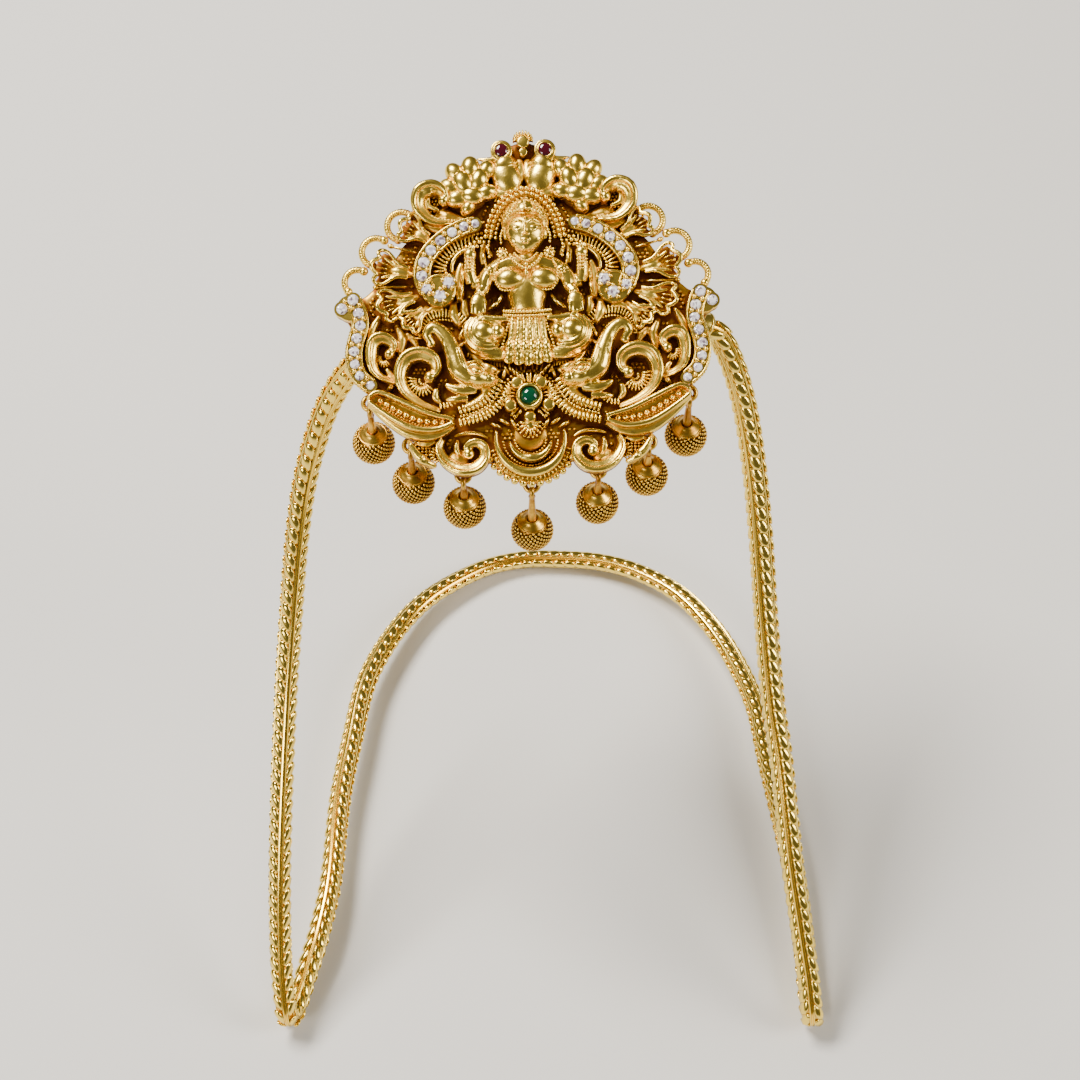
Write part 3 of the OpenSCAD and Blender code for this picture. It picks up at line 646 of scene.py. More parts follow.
def make_birds():
    bars = [([(1.7, 22.2, 1), (2.1, 23.1, 0.7), (2.6, 23.8, 0.1)], (1.35, 1.1, 0.8)),
            ([(3.7, 23.5, 0.9), (4.9, 23.4, 1.0), (6.3, 23.6, 0.9)], (0.5, 0.42, 0.09, 0.3)),
            ([(0.55, 23.4, 0.5), (0.5, 21.4, 0.8), (1.0, 19.4, 0.9)], (0.45, 0.62, 0.4)),
            ([(0.9, 19.4, 0.9), (2.4, 18.6, 1.0), (4.0, 18.9, 1.0), (5.0, 20.2, 0.9)], (0.3, 0.6, 0.25)),
            ([(1.3, 21.9, 1.7), (2.5, 20.7, 2.0), (4.0, 20.9, 1.1)], (0.16, 0.4, 0.14)),
            ([(1.3, 20.6, 1.7), (2.4, 19.5, 1.7), (3.8, 19.6, 1.1)], (0.16, 0.38, 0.14))]
    bird = [ball(BASE, (2.35, 20.9, 1.0), (2.0, 2.6, 1.35), turn=-22),
            *[bar(BASE, *how) for how in bars],
            ball(BASE, (2.6, 22.7, 1.3), (1.5, 1.25, 0.95), turn=-30)]
    feathers = ribs([(0.5, 19.2), (1.9, 18.0), (3.6, 17.9), (4.4, 18.6)], 0.44, 0.9, 0.17, 1.0)
    both([cast(bird, "bird_body", grain=0.11), grains(feathers)], "bird")


def make_buds():
    lobes = [(6.1, 20.4, 1.3), (8.2, 20.1, 1.35), (5.1, 21.9, 1.15), (7.2, 22.2, 1.3), (9.3, 21.6, 1.2),
             (10.0, 19.7, 1.15), (9.0, 18.1, 1.25), (7.0, 18.3, 1.3), (5.1, 18.8, 1.15), (7.6, 16.8, 0.95)]
    petals = []
    for x, y, r in lobes:
        away = math.hypot(x - 7.1, y - 19.7)
        turn = -math.degrees(math.atan2(x - 7.1, y - 19.2)) * min(away / 2, 1) * 0.8
        half = (r * 1.04, r * 1.34, 1.3)
        petals.append(ball(BASE, (x, y, 2.2 - 0.36 * away), half, turn=turn, segments=28))
    petals.append(ball(BASE, (7.2, 19.6, 0.6), (2.6, 3.0, 1.9)))
    both([smooth_shade(petal) for petal in petals], "buds")


def make_horns():
    horn = [*fluted(HORN, (0.4, 1.1, 0.5, 0.6), [0, 0.5, 1], [3.4, 4.5, 3.8], -1),
            wall([(8.0, 15.2), (10.6, 15.9), (12.6, 16.4)], (0.4, 1.2, 0.6), 2.3, tall=0.6),
            egg((10.9, 17.8, 3), (0.78, 0.78, 0.9)),
            rod([(11.6, 16.6, 2.6), (12.9, 17.2, 2.5), (12.9, 18.2, 2.5)], (0.2, 0.34, 0.2)),
            wall([(9.4, 13.3), (11.6, 13.9), (13.8, 14.6)], (0.3, 0.6, 0.3), 2.6, tall=0.8)]
    dust = [((11.7 + 0.52 * (i % 4) + 0.26 * (i // 4 % 2), 16.6 + 0.46 * (i // 4), BASE + 0.75), 0.22)
            for i in range(20)]
    dust += row([(8.9, 14.9), (11.8, 15.3), (13.6, 16.4)], 0.46, 0.22, 1.75)
    both([cast(horn, "horn_curl"), grains(dust)], "horn_scroll")


# Set stones: a bed of metal with rims and claws, and the cut stones. A claw's way out, a stone's girdle
# and its rise are shares of its diameter.
CLAW_RISE, CLAW_R, CLAW_OUT = 0.14, 0.33, 0.1722
BED_EDGE, STONE_GIRDLE, STONE_RISE = 0.34, 0.465, 0.42


def make_bed(table, top, middle, head, name):
    """Bed along the middle stones of the table; head is the (across, up, radius) of its round end."""
    line = through([(x, y) for x, y, _d in middle], 6)
    wide = along(len(line), np.linspace(0, 1, len(middle)), [d / 2 + BED_EDGE for _x, _y, d in middle])
    parts = [wall(line, wide, top + 0.55, tall=1.1, per=1),
             disc((head[0], head[1], BASE - 0.1), head[2], top - BASE + 0.1, edge=0.1)]
    parts += [drum(x, y, d / 2 + 0.3, BASE - 0.2, top) for x, y, d in table]
    bed = trimmed(cast(parts, name, soften=1), top - 0.08, upper=True)
    return smooth_shade(bed, 40), line, wide


def rims(line, reach, top, wire):
    """Thin wires along both sides of a bed."""
    made = []
    for s in SIDES:
        edge = shifted(line, s * reach)
        edge[:, 2] = top
        made.append(smooth_shade(rod(edge, wire, per=1)))
    return made


def claws(table, top):
    """Two claws between each stone and the next."""
    spots = []
    for first, second in zip(table, table[1:]):
        a, b = np.array(first[:2]), np.array(second[:2])
        way = (b - a) / np.linalg.norm(b - a)
        side = np.array([-way[1], way[0]]) * (first[2] + second[2]) * CLAW_OUT
        spots += [((*((a + b) / 2 + s * side), top + CLAW_RISE), CLAW_R) for s in SIDES]
    return spots


def make_stone_settings():
    top = CRESCENT_TOP
    bed, line, wide = make_bed(CRESCENT, top, CRESCENT[:8], (11.75, 5.3, 2.1), "crescent_bed")
    keel = wall([(7.2, 14.2), (6.2, 14.6), (5.6, 14.8)], (0.6, 0.4, 0.12, 0.3), 3.0)
    round_rim = rod(arc(11.75, 5.3, 2.12, -35, 215, 30, top), 0.15, per=1)
    spots = claws(CRESCENT[:8], top)
    for x, y, d in CRESCENT[7:]:
        spots += wreath((x, y, top + CLAW_RISE), d / 2 + 0.02, (22.9183, 310.9183, 5), 0.3)
    both([bed, keel, *rims(line, wide - 0.1, top, 0.15), smooth_shade(round_rim), grains(spots)], "crescent")

    top = CURL_TOP
    bed, line, wide = make_bed(CURL, top, CURL[1:], (23.75, 3.35, 1.75), "curl_bed")
    spots = claws(CURL, top)
    outer = shifted(line, wide + 0.04)[6:]
    spots += beads(outer, 0.46, 0.2, 2.75) + beads(outer, 0.46, 0.18, 2.3)
    both([bed, *rims(line, wide - 0.08, top, 0.14), grains(spots)], "side_curl")

    for table, top, name in ((CRESCENT, CRESCENT_TOP, "crescent_stones"), (CURL, CURL_TOP, "curl_stones")):
        places = [place((x, y, top), (d * STONE_GIRDLE, d * STONE_GIRDLE, d * STONE_RISE), 0.3 * i)
                  for i, (x, y, d) in enumerate(table)]
        both([copies(stone_seed(), places, name)], name, "cut", "clear_stone")


def stone_seed():
    """Round stone: table, sixteen-sided girdle and a point below."""
    stone = added(bpy.ops.mesh.primitive_circle_add, vertices=16, radius=1, fill_type="NGON")
    edit_mode()
    bpy.ops.mesh.extrude_region_move(TRANSFORM_OT_translate={"value": (0, 0, 0.07)})
    for rise, shrink, height in ((0.2, 0.8, 0.27), (0.1, 0.72, 0.37)):
        bpy.ops.mesh.extrude_region_move(TRANSFORM_OT_translate={"value": (0, 0, rise)})
        bpy.ops.transform.resize(value=(shrink, shrink, 1), center_override=(0, 0, height))
    mesh = bmesh.from_edit_mesh(stone.data)
    for f in mesh.faces:
        f.select = f.calc_center_median().z < 0.001
    bmesh.update_edit_mesh(stone.data)
    bpy.ops.mesh.extrude_region_move(TRANSFORM_OT_translate={"value": (0, 0, -0.8)})
    bpy.ops.mesh.merge(type="CENTER")
    face_outwards()
    return stone


# Twisted wire bent into open loops
def make_loops():
    parts = []
    for x, y, r, first, last in LOOPS:
        line = arc(x, y, r - 0.05, first, last, 24, BASE + 0.5)
        twist = [((p[0], p[1], BASE + 0.5), (0.17, 0.58, 0.56), way + 0.5) for p, way in spaced(line, 0.36)]
        parts += [smooth_shade(rod(line, 0.46, per=1)), grains(twist, rings=6),
                  smooth_shade(egg((*line[0][:2], BASE + 0.6), (0.62, 0.62, 0.6))),
                  smooth_shade(egg((*line[-1][:2], BASE + 0.6), (0.6, 0.6, 0.6)))]
    both(parts, "wire_loops")


# Lily fans: crumpled trumpets that open towards the edge
def make_fan(x, y, turn, reach, half):
    """Parts to be cast for one fan, and spots for its veins."""
    turned = Matrix.Translation((x, y, BASE)) @ Matrix.Rotation(math.radians(turn), 4, "Z")

    def at(a, b, n):
        return turned @ Vector((reach * a, half * b, n))

    lip = [(0.05, 0.3), (0.4, 0.42), (0.72, 0.92), (0.95, 1.05), (1.06, 0.8), (0.98, 0.52), (1.12, 0.3),
           (1.2, 0)]
    lip += [(a, -b) for a, b in lip[-2::-1]]
    wire = along(4 * len(lip) - 3, [0, 0.2, 0.5, 0.8, 1], [0.24, 0.24, 0.3, 0.24, 0.24])
    parts = [rod([at(a, b, 1.35 + 1.15 * a - 0.5 * abs(b) ** 3) for a, b in lip], wire, tall=0.5),
             panel([at(0.96 * a, 0.95 * b, 0) for a, b in lip[::-1]], BASE - 0.1, BASE + 0.85),
             rod([turned @ Vector((-0.6, 0, 0.7)), at(0.35, 0, 1.0), at(0.62, 0, 0.8)], (0.3, 0.62, 0.4))]
    for b in (-0.62, 0.62):
        fold = [at(0.25, b * 0.25, 1.3), at(0.6, b * 0.62, 1.5), at(0.86, b, 1.7)]
        parts.append(rod(fold, (0.14, 0.26, 0.12)))
    veins = []
    for b in (-0.3, 0, 0.3):
        veins.append((at(0.86, b, 1.35), (reach * 0.16, 0.12, 0.35), math.radians(turn) + 0.5 * b))
        veins.append((at(1.02, b, 1.6), (0.2, 0.2, 0.25)))
    return parts, veins


def make_fans():
    parts, veins = [], []
    for fan in FANS:
        more_parts, more_veins = make_fan(*fan)
        parts += more_parts
        veins += more_veins
    between = (((14.6, 10.9), (18.2, 11.9)), ((15.9, 6.3), (20.3, 6.3)), ((15.2, 3.3), (18.9, 1.9)),
               ((13, 1.6), (14.4, -0.4)))
    for (x, y), (x2, y2) in between:
        way, reach = math.atan2(y2 - y, x2 - x), math.hypot(x2 - x, y2 - y)
        veins.append((((x + x2) / 2, (y + y2) / 2, BASE + 0.7), (reach / 2, 0.2, 0.5), way))
        veins.append(((x2, y2, BASE + 0.9), (0.5, 0.36, 0.5), way))
    both([cast(parts, "fan_right", soften=1), grains(veins)], "lily_fans")


# Ribbed feather panel inside the crescent, with small leaves round it
def make_feather():
    inner = [(7.1, 12.4), (9.1, 11.9), (10.8, 10.6), (11.7, 8.9), (11.6, 7.7)]
    leaves = (([(7.3, 11.4), (8.9, 10.6), (9.9, 9.3), (10.0, 7.9)], (0.16, 0.28, 0.16), 3.0, 2),
              ([(9.0, 4.2), (9.3, 5.9), (9.1, 7.9), (8.6, 9.4)], (0.35, 0.6, 0.3), 2.7, 0.8),
              ([(9.1, 0.7), (9.9, 2.3), (9.9, 3.9)], (0.35, 0.7, 0.35), 2.8, 0.9),
              ([(8.0, 1.9), (8.5, 3), (8.4, 4.4)], (0.3, 0.55, 0.25), 2.5, 0.8),
              ([(11.2, 2.9), (12.6, 3.2), (13.6, 2.6)], (0.3, 0.5, 0.25), 2.6, 0.9),
              ([(5.4, 12.4), (5.9, 10.6), (5.8, 8.9)], (0.25, 0.5, 0.25), 2.6, 0.8))
    panel_part = cast([wall(*leaf) for leaf in leaves], "feather_panel")
    spots = ribs(inner, 0.52, 1.75, 0.16, 1.2, tall=2.4, skew=0.1)
    spots += beads(shifted(through(inner), -0.85), 0.52, 0.23, BASE + 1.6)
    spots += row([(5.9, 13.3), (7.4, 13.0), (9.0, 12.5)], 0.5, 0.24, 1.2)
    both([panel_part, grains(spots)], "feather")


# Elephant heads with raised trunks, back to back
def make_elephants():
    trunk = through(TRUNK)
    wide = along(len(trunk), [0, 0.12, 0.4, 0.62, 0.85, 1], [0.5, 0.6, 0.85, 1.12, 1.5, 1.4])
    trunk[:, 2] = BASE + along(len(trunk), [0, 0.25, 0.6, 1], [2.3, 2.5, 2.3, 2.2])
    bars = [([(7.2, -8, 2), (8.8, -8.2, 2.3), (10.4, -7.8, 2.3), (11.2, -7.3, 2.4)], (0.7, 0.7, 0.16, 0.4)),
            ([(8.3, -9.1, 1.3), (9.8, -9.2, 1.4), (11.2, -9.3, 1.3)], (0.6, 0.6, 0.14, 0.4)),
            ([(9.3, -2.6, 3.9), (8.7, -4.5, 4.1), (8.1, -5.8, 4)], (0.12, 0.26, 0.12)),
            ([(11.4, -1.0, 3.3), (10.9, -3.0, 3.6), (10.2, -5.2, 3.6)], (0.1, 0.2, 0.1)),
            ([(5.9, -4.9, 1.2), (6.9, -3.9, 1.2), (8.1, -2.2, 1.0)], (0.2, 0.5, 0.2)),
            ([(4.2, -5.4, 1.2), (5.2, -5.2, 1.6), (6.0, -4.6, 1.4)], (0.25, 0.5, 0.25))]
    head = [rod(trunk, wide, 0.35, per=1), ball(BASE, (12.95, -1.85, 2.3), (0.68, 0.62, 0.66)),
            ball(BASE, (6.9, -6.6, 1.9), (2.0, 1.6, 2.4), turn=20),
            ball(BASE, (5.3, -6.9, 1.8), (1.3, 1.15, 2.0)),
            wall([(5.2, -7.9), (6.6, -9.6), (8.9, -10.7)], (0.6, 0.8, 0.4), 3.5, tall=0.8),
            wall([(4.4, -9.6), (6, -11.2), (8.8, -12.1)], (0.5, 0.7, 0.35), 3.1, tall=0.8),
            *[bar(BASE, *how) for how in bars]]
    head = cast(head, "elephant_head", soften=1)

    inner, outer = (5.85, -6.1, 4.05), (8.2, -5.6, 4.05)
    lids = [([inner, (6.6, -5.35, 4.3), (7.5, -5.2, 4.2), outer], (0.1, 0.2, 0.1)),
            ([inner, (6.8, -6.6, 4.35), (7.6, -6.3, 4.3), outer], (0.08, 0.16, 0.08)),
            ([(5.7, -5.6, 3.8), (6.8, -4.75, 4.1), (8.2, -4.8, 4.1)], (0.06, 0.13, 0.06))]
    eye = [ball(BASE, (7.0, -5.95, 4.1), (0.72, 0.42, 0.36), turn=18, segments=24),
           *[bar(BASE, *how) for how in lids],
           ball(BASE, (7.0, -5.95, 4.42), (0.2, 0.18, 0.12), segments=12)]
    eye = [smooth_shade(apply_here(part)) for part in eye]

    spots = ribs([(4.0, -7.0), (4.9, -8.7), (6.7, -10.0), (9.3, -10.9)], 0.58, 1.3, 0.23, 2.2, tall=1.5)
    spots += ribs([(3.2, -9.1), (4.4, -10.6), (6.2, -11.8), (9.3, -12.5)], 0.58, 1.25, 0.23, 1.95, tall=1.4)
    spots += row([(3.7, -8.0), (4.8, -9.6), (6.5, -10.9), (9.2, -11.7)], 0.44, 0.19, 2.1)
    spots += ribs([(9.6, -8.9), (10.6, -9.9), (11.9, -10.1)], 0.44, 1.0, 0.17, 1.2, tall=1.5)
    spots += ribs([(7.9, 0.9), (9.1, 2.0), (10.6, 2.5), (12.2, 2.5), (13.6, 1.9), (14.5, 0.7), (14.7, -0.8)],
                  0.44, 1.35, 0.16, 1.0, tall=1.6)
    spots += row([(8.1, 0.1), (9.4, 1.1), (10.8, 1.6), (12.1, 1.6), (13.4, 1.0), (13.9, 0)], 0.42, 0.19, 0.9)
    both([head, *eye, grains(spots)], "elephant")


# Scrolls and raised leaves of the lower half
def make_c_scrolls():
    parts = [*fluted(SMALL_C, (0.45, 0.82, 0.3, 0.4), [0, 0.3, 0.7, 1], [3.2, 4.0, 4.0, 2.6]),
             egg((18.6, -2.95, 2.6), (0.75, 0.75, 0.85)),
             *fluted(BIG_C, (0.55, 0.95, 0.35, 0.4), [0, 0.3, 0.7, 1], [3.4, 4.4, 4.3, 2.6]),
             egg((13.25, -6.2, 2.9), (0.85, 0.85, 0.95))]
    leaves = (([(19.8, 2.4), (20.9, 0.5), (21.4, -1.6)], (0.2, 0.55, 0.2), 2.9, 1.2),
              ([(17.6, 0.9), (16.9, -0.8), (17.2, -2.9)], (0.25, 0.7, 0.3), 2.7, 1.0),
              ([(16.4, 0.1), (15.4, -0.9), (14.8, -2.1)], (0.25, 0.6, 0.25), 2.5, 1.0),
              ([(18.9, -7.7), (18.4, -6.9), (18.6, -5.6), (19.2, -4.8)], (0.3, 0.55, 0.2), 2.5, 0.9),
              ([(12.3, -7.5), (12.6, -8.8), (12.0, -9.6)], (0.3, 0.5, 0.2), 2.7, 0.9))
    parts += [wall(*leaf) for leaf in leaves]
    spots = wreath((14.4, -6.5, BASE + 1.0), (1.35, 1.55), (-140, 10, 11), (0.75, 0.17, 0.5), turned=True)
    spots += wreath((14.2, -6.6, BASE + 0.9), 0.5, (-140, 20, 5), 0.24)
    spots += wreath((19.4, -3.3, BASE + 0.9), (0.75, 0.9), (-130, 10, 8), (0.5, 0.15, 0.4), turned=True)
    both([cast(parts, "c_scroll"), grains(spots)], "c_scrolls")


def make_leaves():
    edge = [*through(LEAF_UP), *through(LEAF_LOW[::-1])[1:-1]]
    inner_rim = [(x, y + 0.5 * math.sin((x - 10.1) / 11.4 * math.pi)) for x, y in LEAF_LOW]
    parts = [panel(edge[::-1], BASE - 0.1, 3.2),
             wall(LEAF_UP, (0.2, 0.34, 0.25), 4.8, tall=2.5),
             wall(inner_rim, (0.26, 0.38, 0.26), 4.8, tall=3),
             wall([(x, y - 0.3) for x, y in LEAF_LOW], (0.3, 0.66, 0.3), 3.2, tall=1.2)]
    spots = row([(19.9, -9.35), (17.3, -10.95), (14.7, -12.15), (11.7, -12.5)], 1.02, 0.47, 2.25)
    spots += row([(19.0, -8.9), (16.5, -10.25), (13.6, -11.6), (11.2, -12.2)], 0.42, 0.17, 2.05)
    spots += row([(19.2, -10.25), (16.9, -11.75), (14.4, -12.75), (12, -12.75)], 0.42, 0.17, 2.05)
    both([cast(parts, "leaf_dish", soften=1), grains(spots)], "leaf")


def make_low_scrolls():
    parts = [*fluted(SCROLL_LOW, (0.3, 0.86, 0.34, 0.33), [0, 0.35, 0.8, 1], [2.8, 4.3, 4.0, 3.4]),
             egg((8.3, -16.7, 2.9), (0.8, 0.8, 0.85)), egg((9.6, -17.2, 1.6), (1.5, 1.3, 0.9))]
    leaves = (([(16.2, -14.9), (15.2, -16.6), (14, -17.6), (13.2, -18)], (0.25, 0.62, 0.25), 3.8, 1.8),
              ([(12.6, -14.8), (13.9, -15.2), (15.4, -15)], (0.2, 0.42, 0.2), 2.7, 1.5),
              ([(5.7, -14.6), (7.0, -13.9), (8.7, -13.8), (10.2, -14.2)], (0.12, 0.3, 0.12), 2.3, 0.9),
              ([(9.8, -14.9), (9.9, -16.0), (9.5, -17.0)], (0.2, 0.42, 0.2), 3.0, 1.0))
    parts += [wall(*leaf) for leaf in leaves]
    spots = []
    for tier in range(3):
        start = 13.0 + 0.25 * (tier % 2) - 0.25 * tier
        spots += [((start + 0.5 * i, -15.7 - 0.46 * tier, BASE + 0.7), 0.24) for i in range(5)]
    spots += ribs([(12.9, -15.9), (13.2, -16.9), (12.6, -17.6)], 0.4, 0.7, 0.14, 1)
    both([cast(parts, "low_scroll"), grains(spots)], "low_scroll")


# Middle of the lower edge: medallion and flower, and the round stones
def make_medallion():
    parts = [wall(arc(0, -14.8, 4.6, 168, 372, 30), (0.15, 0.66, 0.15), 4.3, tall=2.4, per=1),
             wall(arc(0, -14.6, 2.9, 195, 345, 24), (0.14, 0.6, 0.14), 4.3, tall=2.4, per=1),
             wall(arc(0, -15.0, 5.3, 200, 340, 24), (0.25, 0.5, 0.25), 2.6, per=1),
             egg((0, -14.2, 1.3), (2.3, 2.2, 0.6))]
    spots = wreath((0, -15.1, BASE + 1.1), (6, 5.75), (204, 336, 13), (0.56, 0.54, 0.66))
    spots += wreath((0, -15.0, BASE + 1.5), (5.3, 5.1), (196, 344.8, 25), (0.34, 0.16, 0.34), turned=True)
    spots += wreath((0, -14.65, 2.2), 3.72, (188, 352, 26), 0.22)
    spots += wreath((0, -14.65, 2.0), 2.15, (188, 352, 15), 0.2)
    keep(join([cast(parts, "medallion_cup", soften=1), grains(spots)], "medallion_cast"), "medallion")


def make_flower():
    parts = [disc((0, -9.3, BASE - 0.05), 1.75, 2.9, edge=0.05),
             hoop((0, -9.3, 4.62), 1.5, 0.22, sides=48), hoop((0, -9.3, 4.2), 1.55, 0.24, sides=48)]
    parts += [disc((x, y, BASE), 0.8, 3.1, edge=0.3)
              for x, y in ((-1.6, -7.45), (1.6, -7.45), (-2.55, -10.45), (2.55, -10.45))]
    parts.append(disc((0, -12.05, BASE), 0.78, 3.0, edge=0.35))
    spots = [((0, -13.0, BASE + 1.3), (1.15, 1.15, 1.0))]
    spots += wreath((0, -13.0, BASE + 2.0), (1.0, 1.05), (169.2, 370.8, 9), (0.6, 0.2, 0.5), turned=True)
    spots += wreath((0, -13.0, BASE + 1.8), (1.68, 1.7), (180, 360, 10), 0.19)
    stamens = ((0.5, -11.0, 2.4, 0.2), (1.25, -11.3, 2.2, 0.24), (2.1, -11.8, 1.8, 0.24))
    leaves = ((3.5, -12.4, -1.0), (4.6, -12.9, -1.1), (2.2, -12.7, -0.5), (4.9, -7.2, 0.9), (3.3, -5.9, 0.3),
              (4.4, -5.9, 0.8))
    for s in SIDES:
        for k, n in ((0, 1.9), (1, 1.5)):
            spots += wreath((s * (2.5 + 0.95 * k), -8.9 - 0.1 * k, BASE + n), (0.55, 1.15),
                            (-68.7549, 71.6197, 8), (0.62, 0.15, 0.32), True, s)
        spots += wreath((0, -9.3, BASE + 1.6), 2.75, (-54.431, 85.9437, 13), (0.85, 0.17, 0.5), True, s)
        spots += wreath((0, -9.3, BASE + 1.0), (3.9, 3.7), (25.7831, 88.8085, 8), 0.24, side=s)
        spots += [((s * (1.05 + 0.5 * k), -6.6 + 0.45 * k, BASE + 1.8), (0.14, 0.6, 0.4), s * -0.5 - 0.1 * k)
                  for k in range(4)]
        spots += [((s * (0.5 + 0.62 * k), -4.9 - 0.12 * k, BASE + 0.9), (0.2, 0.8, 0.45), s * -0.12 * k)
                  for k in range(5)]
        spots += [((s * x, y, BASE + n), r) for x, y, n, r in stamens]
        spots += [((s * x, y, BASE + 0.8), (0.3, 1.0, 0.7), s * turn) for x, y, turn in leaves]
    parts = [smooth_shade(part, 40) for part in parts]
    keep(join([*parts, grains(spots)], "centre_flower_cast"), "centre_flower")


def make_round_stones():
    green = smooth_shade(apply_here(egg((0, -9.3, 4.0), (1.3, 1.3, 0.95), segments=36)))
    keep(join([green], "green_cabochon"), "green_stone", "dark_green_stone")
    bezel = [disc((2.95, 24.45, BASE), 1.48, 1.85, sides=48, edge=0.16),
             hoop((2.95, 24.45, 3.1), 1.0, 0.13, sides=40)]
    both([smooth_shade(part, 40) for part in bezel], "ruby_bezel")
    ruby = smooth_shade(apply_here(egg((2.95, 24.45, 3.06), (0.92, 0.92, 0.42), segments=32)))
    both([ruby], "ruby", "cabochon", "dark_red_stone")


plate = make_plate()
for make in (make_halo, make_figure, make_finial, make_birds, make_buds, make_horns, make_stone_settings,
             make_loops, make_fans, make_feather, make_elephants, make_c_scrolls, make_leaves,
             make_low_scrolls, make_medallion, make_flower, make_round_stones):
    make()
on_plaque = [apply_here(piece) for piece, _node, _slot in PIECES]


# Patina: how deep each point of the plaque lies under its neighbourhood, on a grid of small cells.
# The mark runs from 0, rubbed bright, to 1, dark; each neighbourhood has a reach and a share in it.
CELL, GRID_EDGE, GRID_COUNT = 0.06, -30.0, 1000
NEIGHBOURHOODS = ((0.16, 0.5), (0.45, 0.24), (1.6, 0.18))
OPEN_MARK, BACK_MARK, BACK_LEVEL = 0.4, 0.45, 0.9


def blurred(field, reach):
    fx, fy = np.fft.fftfreq(field.shape[0])[:, None], np.fft.rfftfreq(field.shape[1])[None, :]
    soft = np.exp(-2 * (math.pi * reach / CELL) ** 2 * (fx * fx + fy * fy))
    return np.fft.irfft2(np.fft.rfft2(field) * soft, field.shape)


def corners_of(o):
    co = np.empty(len(o.data.vertices) * 3)
    o.data.vertices.foreach_get("co", co)
    return co.reshape(-1, 3)


def cells_of(co):
    cell = ((co[:, :2] - GRID_EDGE) / CELL).astype(int)
    return cell[:, 0], cell[:, 1]


def height_map(objects, rounds=4):
    """Greatest height of the objects over each small cell of the plaque."""
    heights = np.zeros((GRID_COUNT, GRID_COUNT))
    for o in objects:
        co = corners_of(o)
        np.maximum.at(heights, cells_of(co), co[:, 2])
    for _ in range(rounds):
        nearby = [np.roll(heights, step, axis) for step in SIDES for axis in (0, 1)]
        heights = np.where(heights < 0.3, np.maximum.reduce(nearby), heights)
    return heights


def mark_hollow(o, values):
    layer = o.data.attributes.new("hollow", "FLOAT", "POINT")
    layer.data.foreach_set("value", np.clip(values, 0, 1).astype(np.float32))


def make_ground():
    """Small grains over the bare ground between the scrolls."""
    whole, own = height_map(on_plaque), height_map([plate], 8)
    spots, pitch = [], 0.62
    for i in range(-42, 43):
        for k in range(-42, 52):
            x, y = i * pitch + (k % 2) * pitch / 2, k * pitch * 0.87
            a, b = int((x - GRID_EDGE) / CELL), int((y - GRID_EDGE) / CELL)
            if own[a - 8:a + 9, b - 8:b + 9].min() > 1.0 and whole[a - 4:a + 5, b - 4:b + 5].max() < 2.0:
                spots.append(((x, y, 1.22), (0.3, 0.3, 0.34)))
    join([plate, grains(spots, segments=7, rings=4)], "plate_with_rings")


def age_and_place():
    """Marks the hollows of the plaque's gold, and leans the plaque back where it stands."""
    relief = height_map(on_plaque)
    around = [(blurred(relief, reach), share) for reach, share in NEIGHBOURHOODS]
    for piece, _node, slot in PIECES:
        co = corners_of(piece)
        if slot == "antique_gold":
            hollow = OPEN_MARK + sum(share * (field[cells_of(co)] - co[:, 2]) for field, share in around)
            hollow[co[:, 2] < BACK_LEVEL] = BACK_MARK
            mark_hollow(piece, hollow)
        piece.data.transform(PLAQUE)
        piece.data.update()


make_ground()
age_and_place()


# The chain: a square core with a flat band on each side, and leaf links along its four corners
ROUTE = [(-29, 65, 77.5), (-31.5, 64, 73), (-33.5, 62, 68.5), (-35.8, 58.4, 61.5),
         (-37.4, 53, 54), (-38.7, 45.2, 44.8), (-39.7, 36.5, 36.5), (-40.6, 25.2, 26.2), (-41.1, 16, 17.8),
         (-41.2, 9, 11.4), (-41, 4.4, 7.4), (-40.6, 0.9, 4.1), (-40.4, 0.2, 2.8), (-40.2, 0.4, 1.4),
         (-39.9, 1.4, 0.3), (-39.5, 2.8, 0), (-38.9, 5, 0.3), (-37.7, 9.2, 1.2), (-36.4, 14.3, 2),
         (-35.1, 22.5, 2.6), (-34.4, 36.3, 3.2), (-33, 47.2, 3.4), (-31.1, 58.7, 3.2), (-26.8, 68.6, 2.6),
         (-21.1, 76.4, 1.6), (-12.5, 82.7, 0.6), (-5.4, 85.2, 0), (1, 85.4, 0), (8.8, 84.5, 0.4),
         (15.8, 81.8, 1), (22.7, 76.7, 1.8), (28.3, 69, 2.6), (32.1, 60.7, 3.2), (34.5, 52.8, 3.4),
         (35.7, 43.5, 3.4), (37.4, 32.8, 3), (38.8, 22.6, 2.4), (39.5, 12.8, 1.4), (39.8, 5.4, 0.3),
         (39.9, 2.8, 0), (39.9, 1.4, 0.3), (39.9, 0.4, 1.4), (39.7, 0.2, 2.8), (39.5, 0.9, 4.1),
         (38.9, 4.4, 7.6), (37.7, 9.8, 12.9), (36, 17.6, 20.6), (34, 29.2, 31.7), (32.6, 35.4, 37.9),
         (31.3, 43.8, 46.8), (30.2, 52, 55.8), (28.9, 58.6, 64), (27.2, 63.3, 71.7), (25.1, 66.4, 78),
         (22.8, 68.2, 82.4)]
STAND = np.array((0.7, -43.4, 1.95))
ARM = np.array((0, math.cos(LEAN), math.sin(LEAN)))
LUG_R, LUG_WIRE = 1.6, 0.5
RING_REACH = 1.9
CHAIN_START = RING_REACH + LUG_R + 2
CAP_MARK = 0.25
# The core: its step along the route, how far its grooves lie from its middle, and how far its bands rise
CORE_STEP, GROOVE_OUT, BAND_RISE = 0.8, 0.85, 0.6
# Leaf links: half size; then distance from the chain's middle, step, twist, and bare length at each end
LEAF_HALF = (1.5, 0.74, 0.34)
LEAF_OUT, LEAF_STEP, LEAF_TWIST, LEAF_MARGIN = 1.41, 1.95, 0.28, 1.1


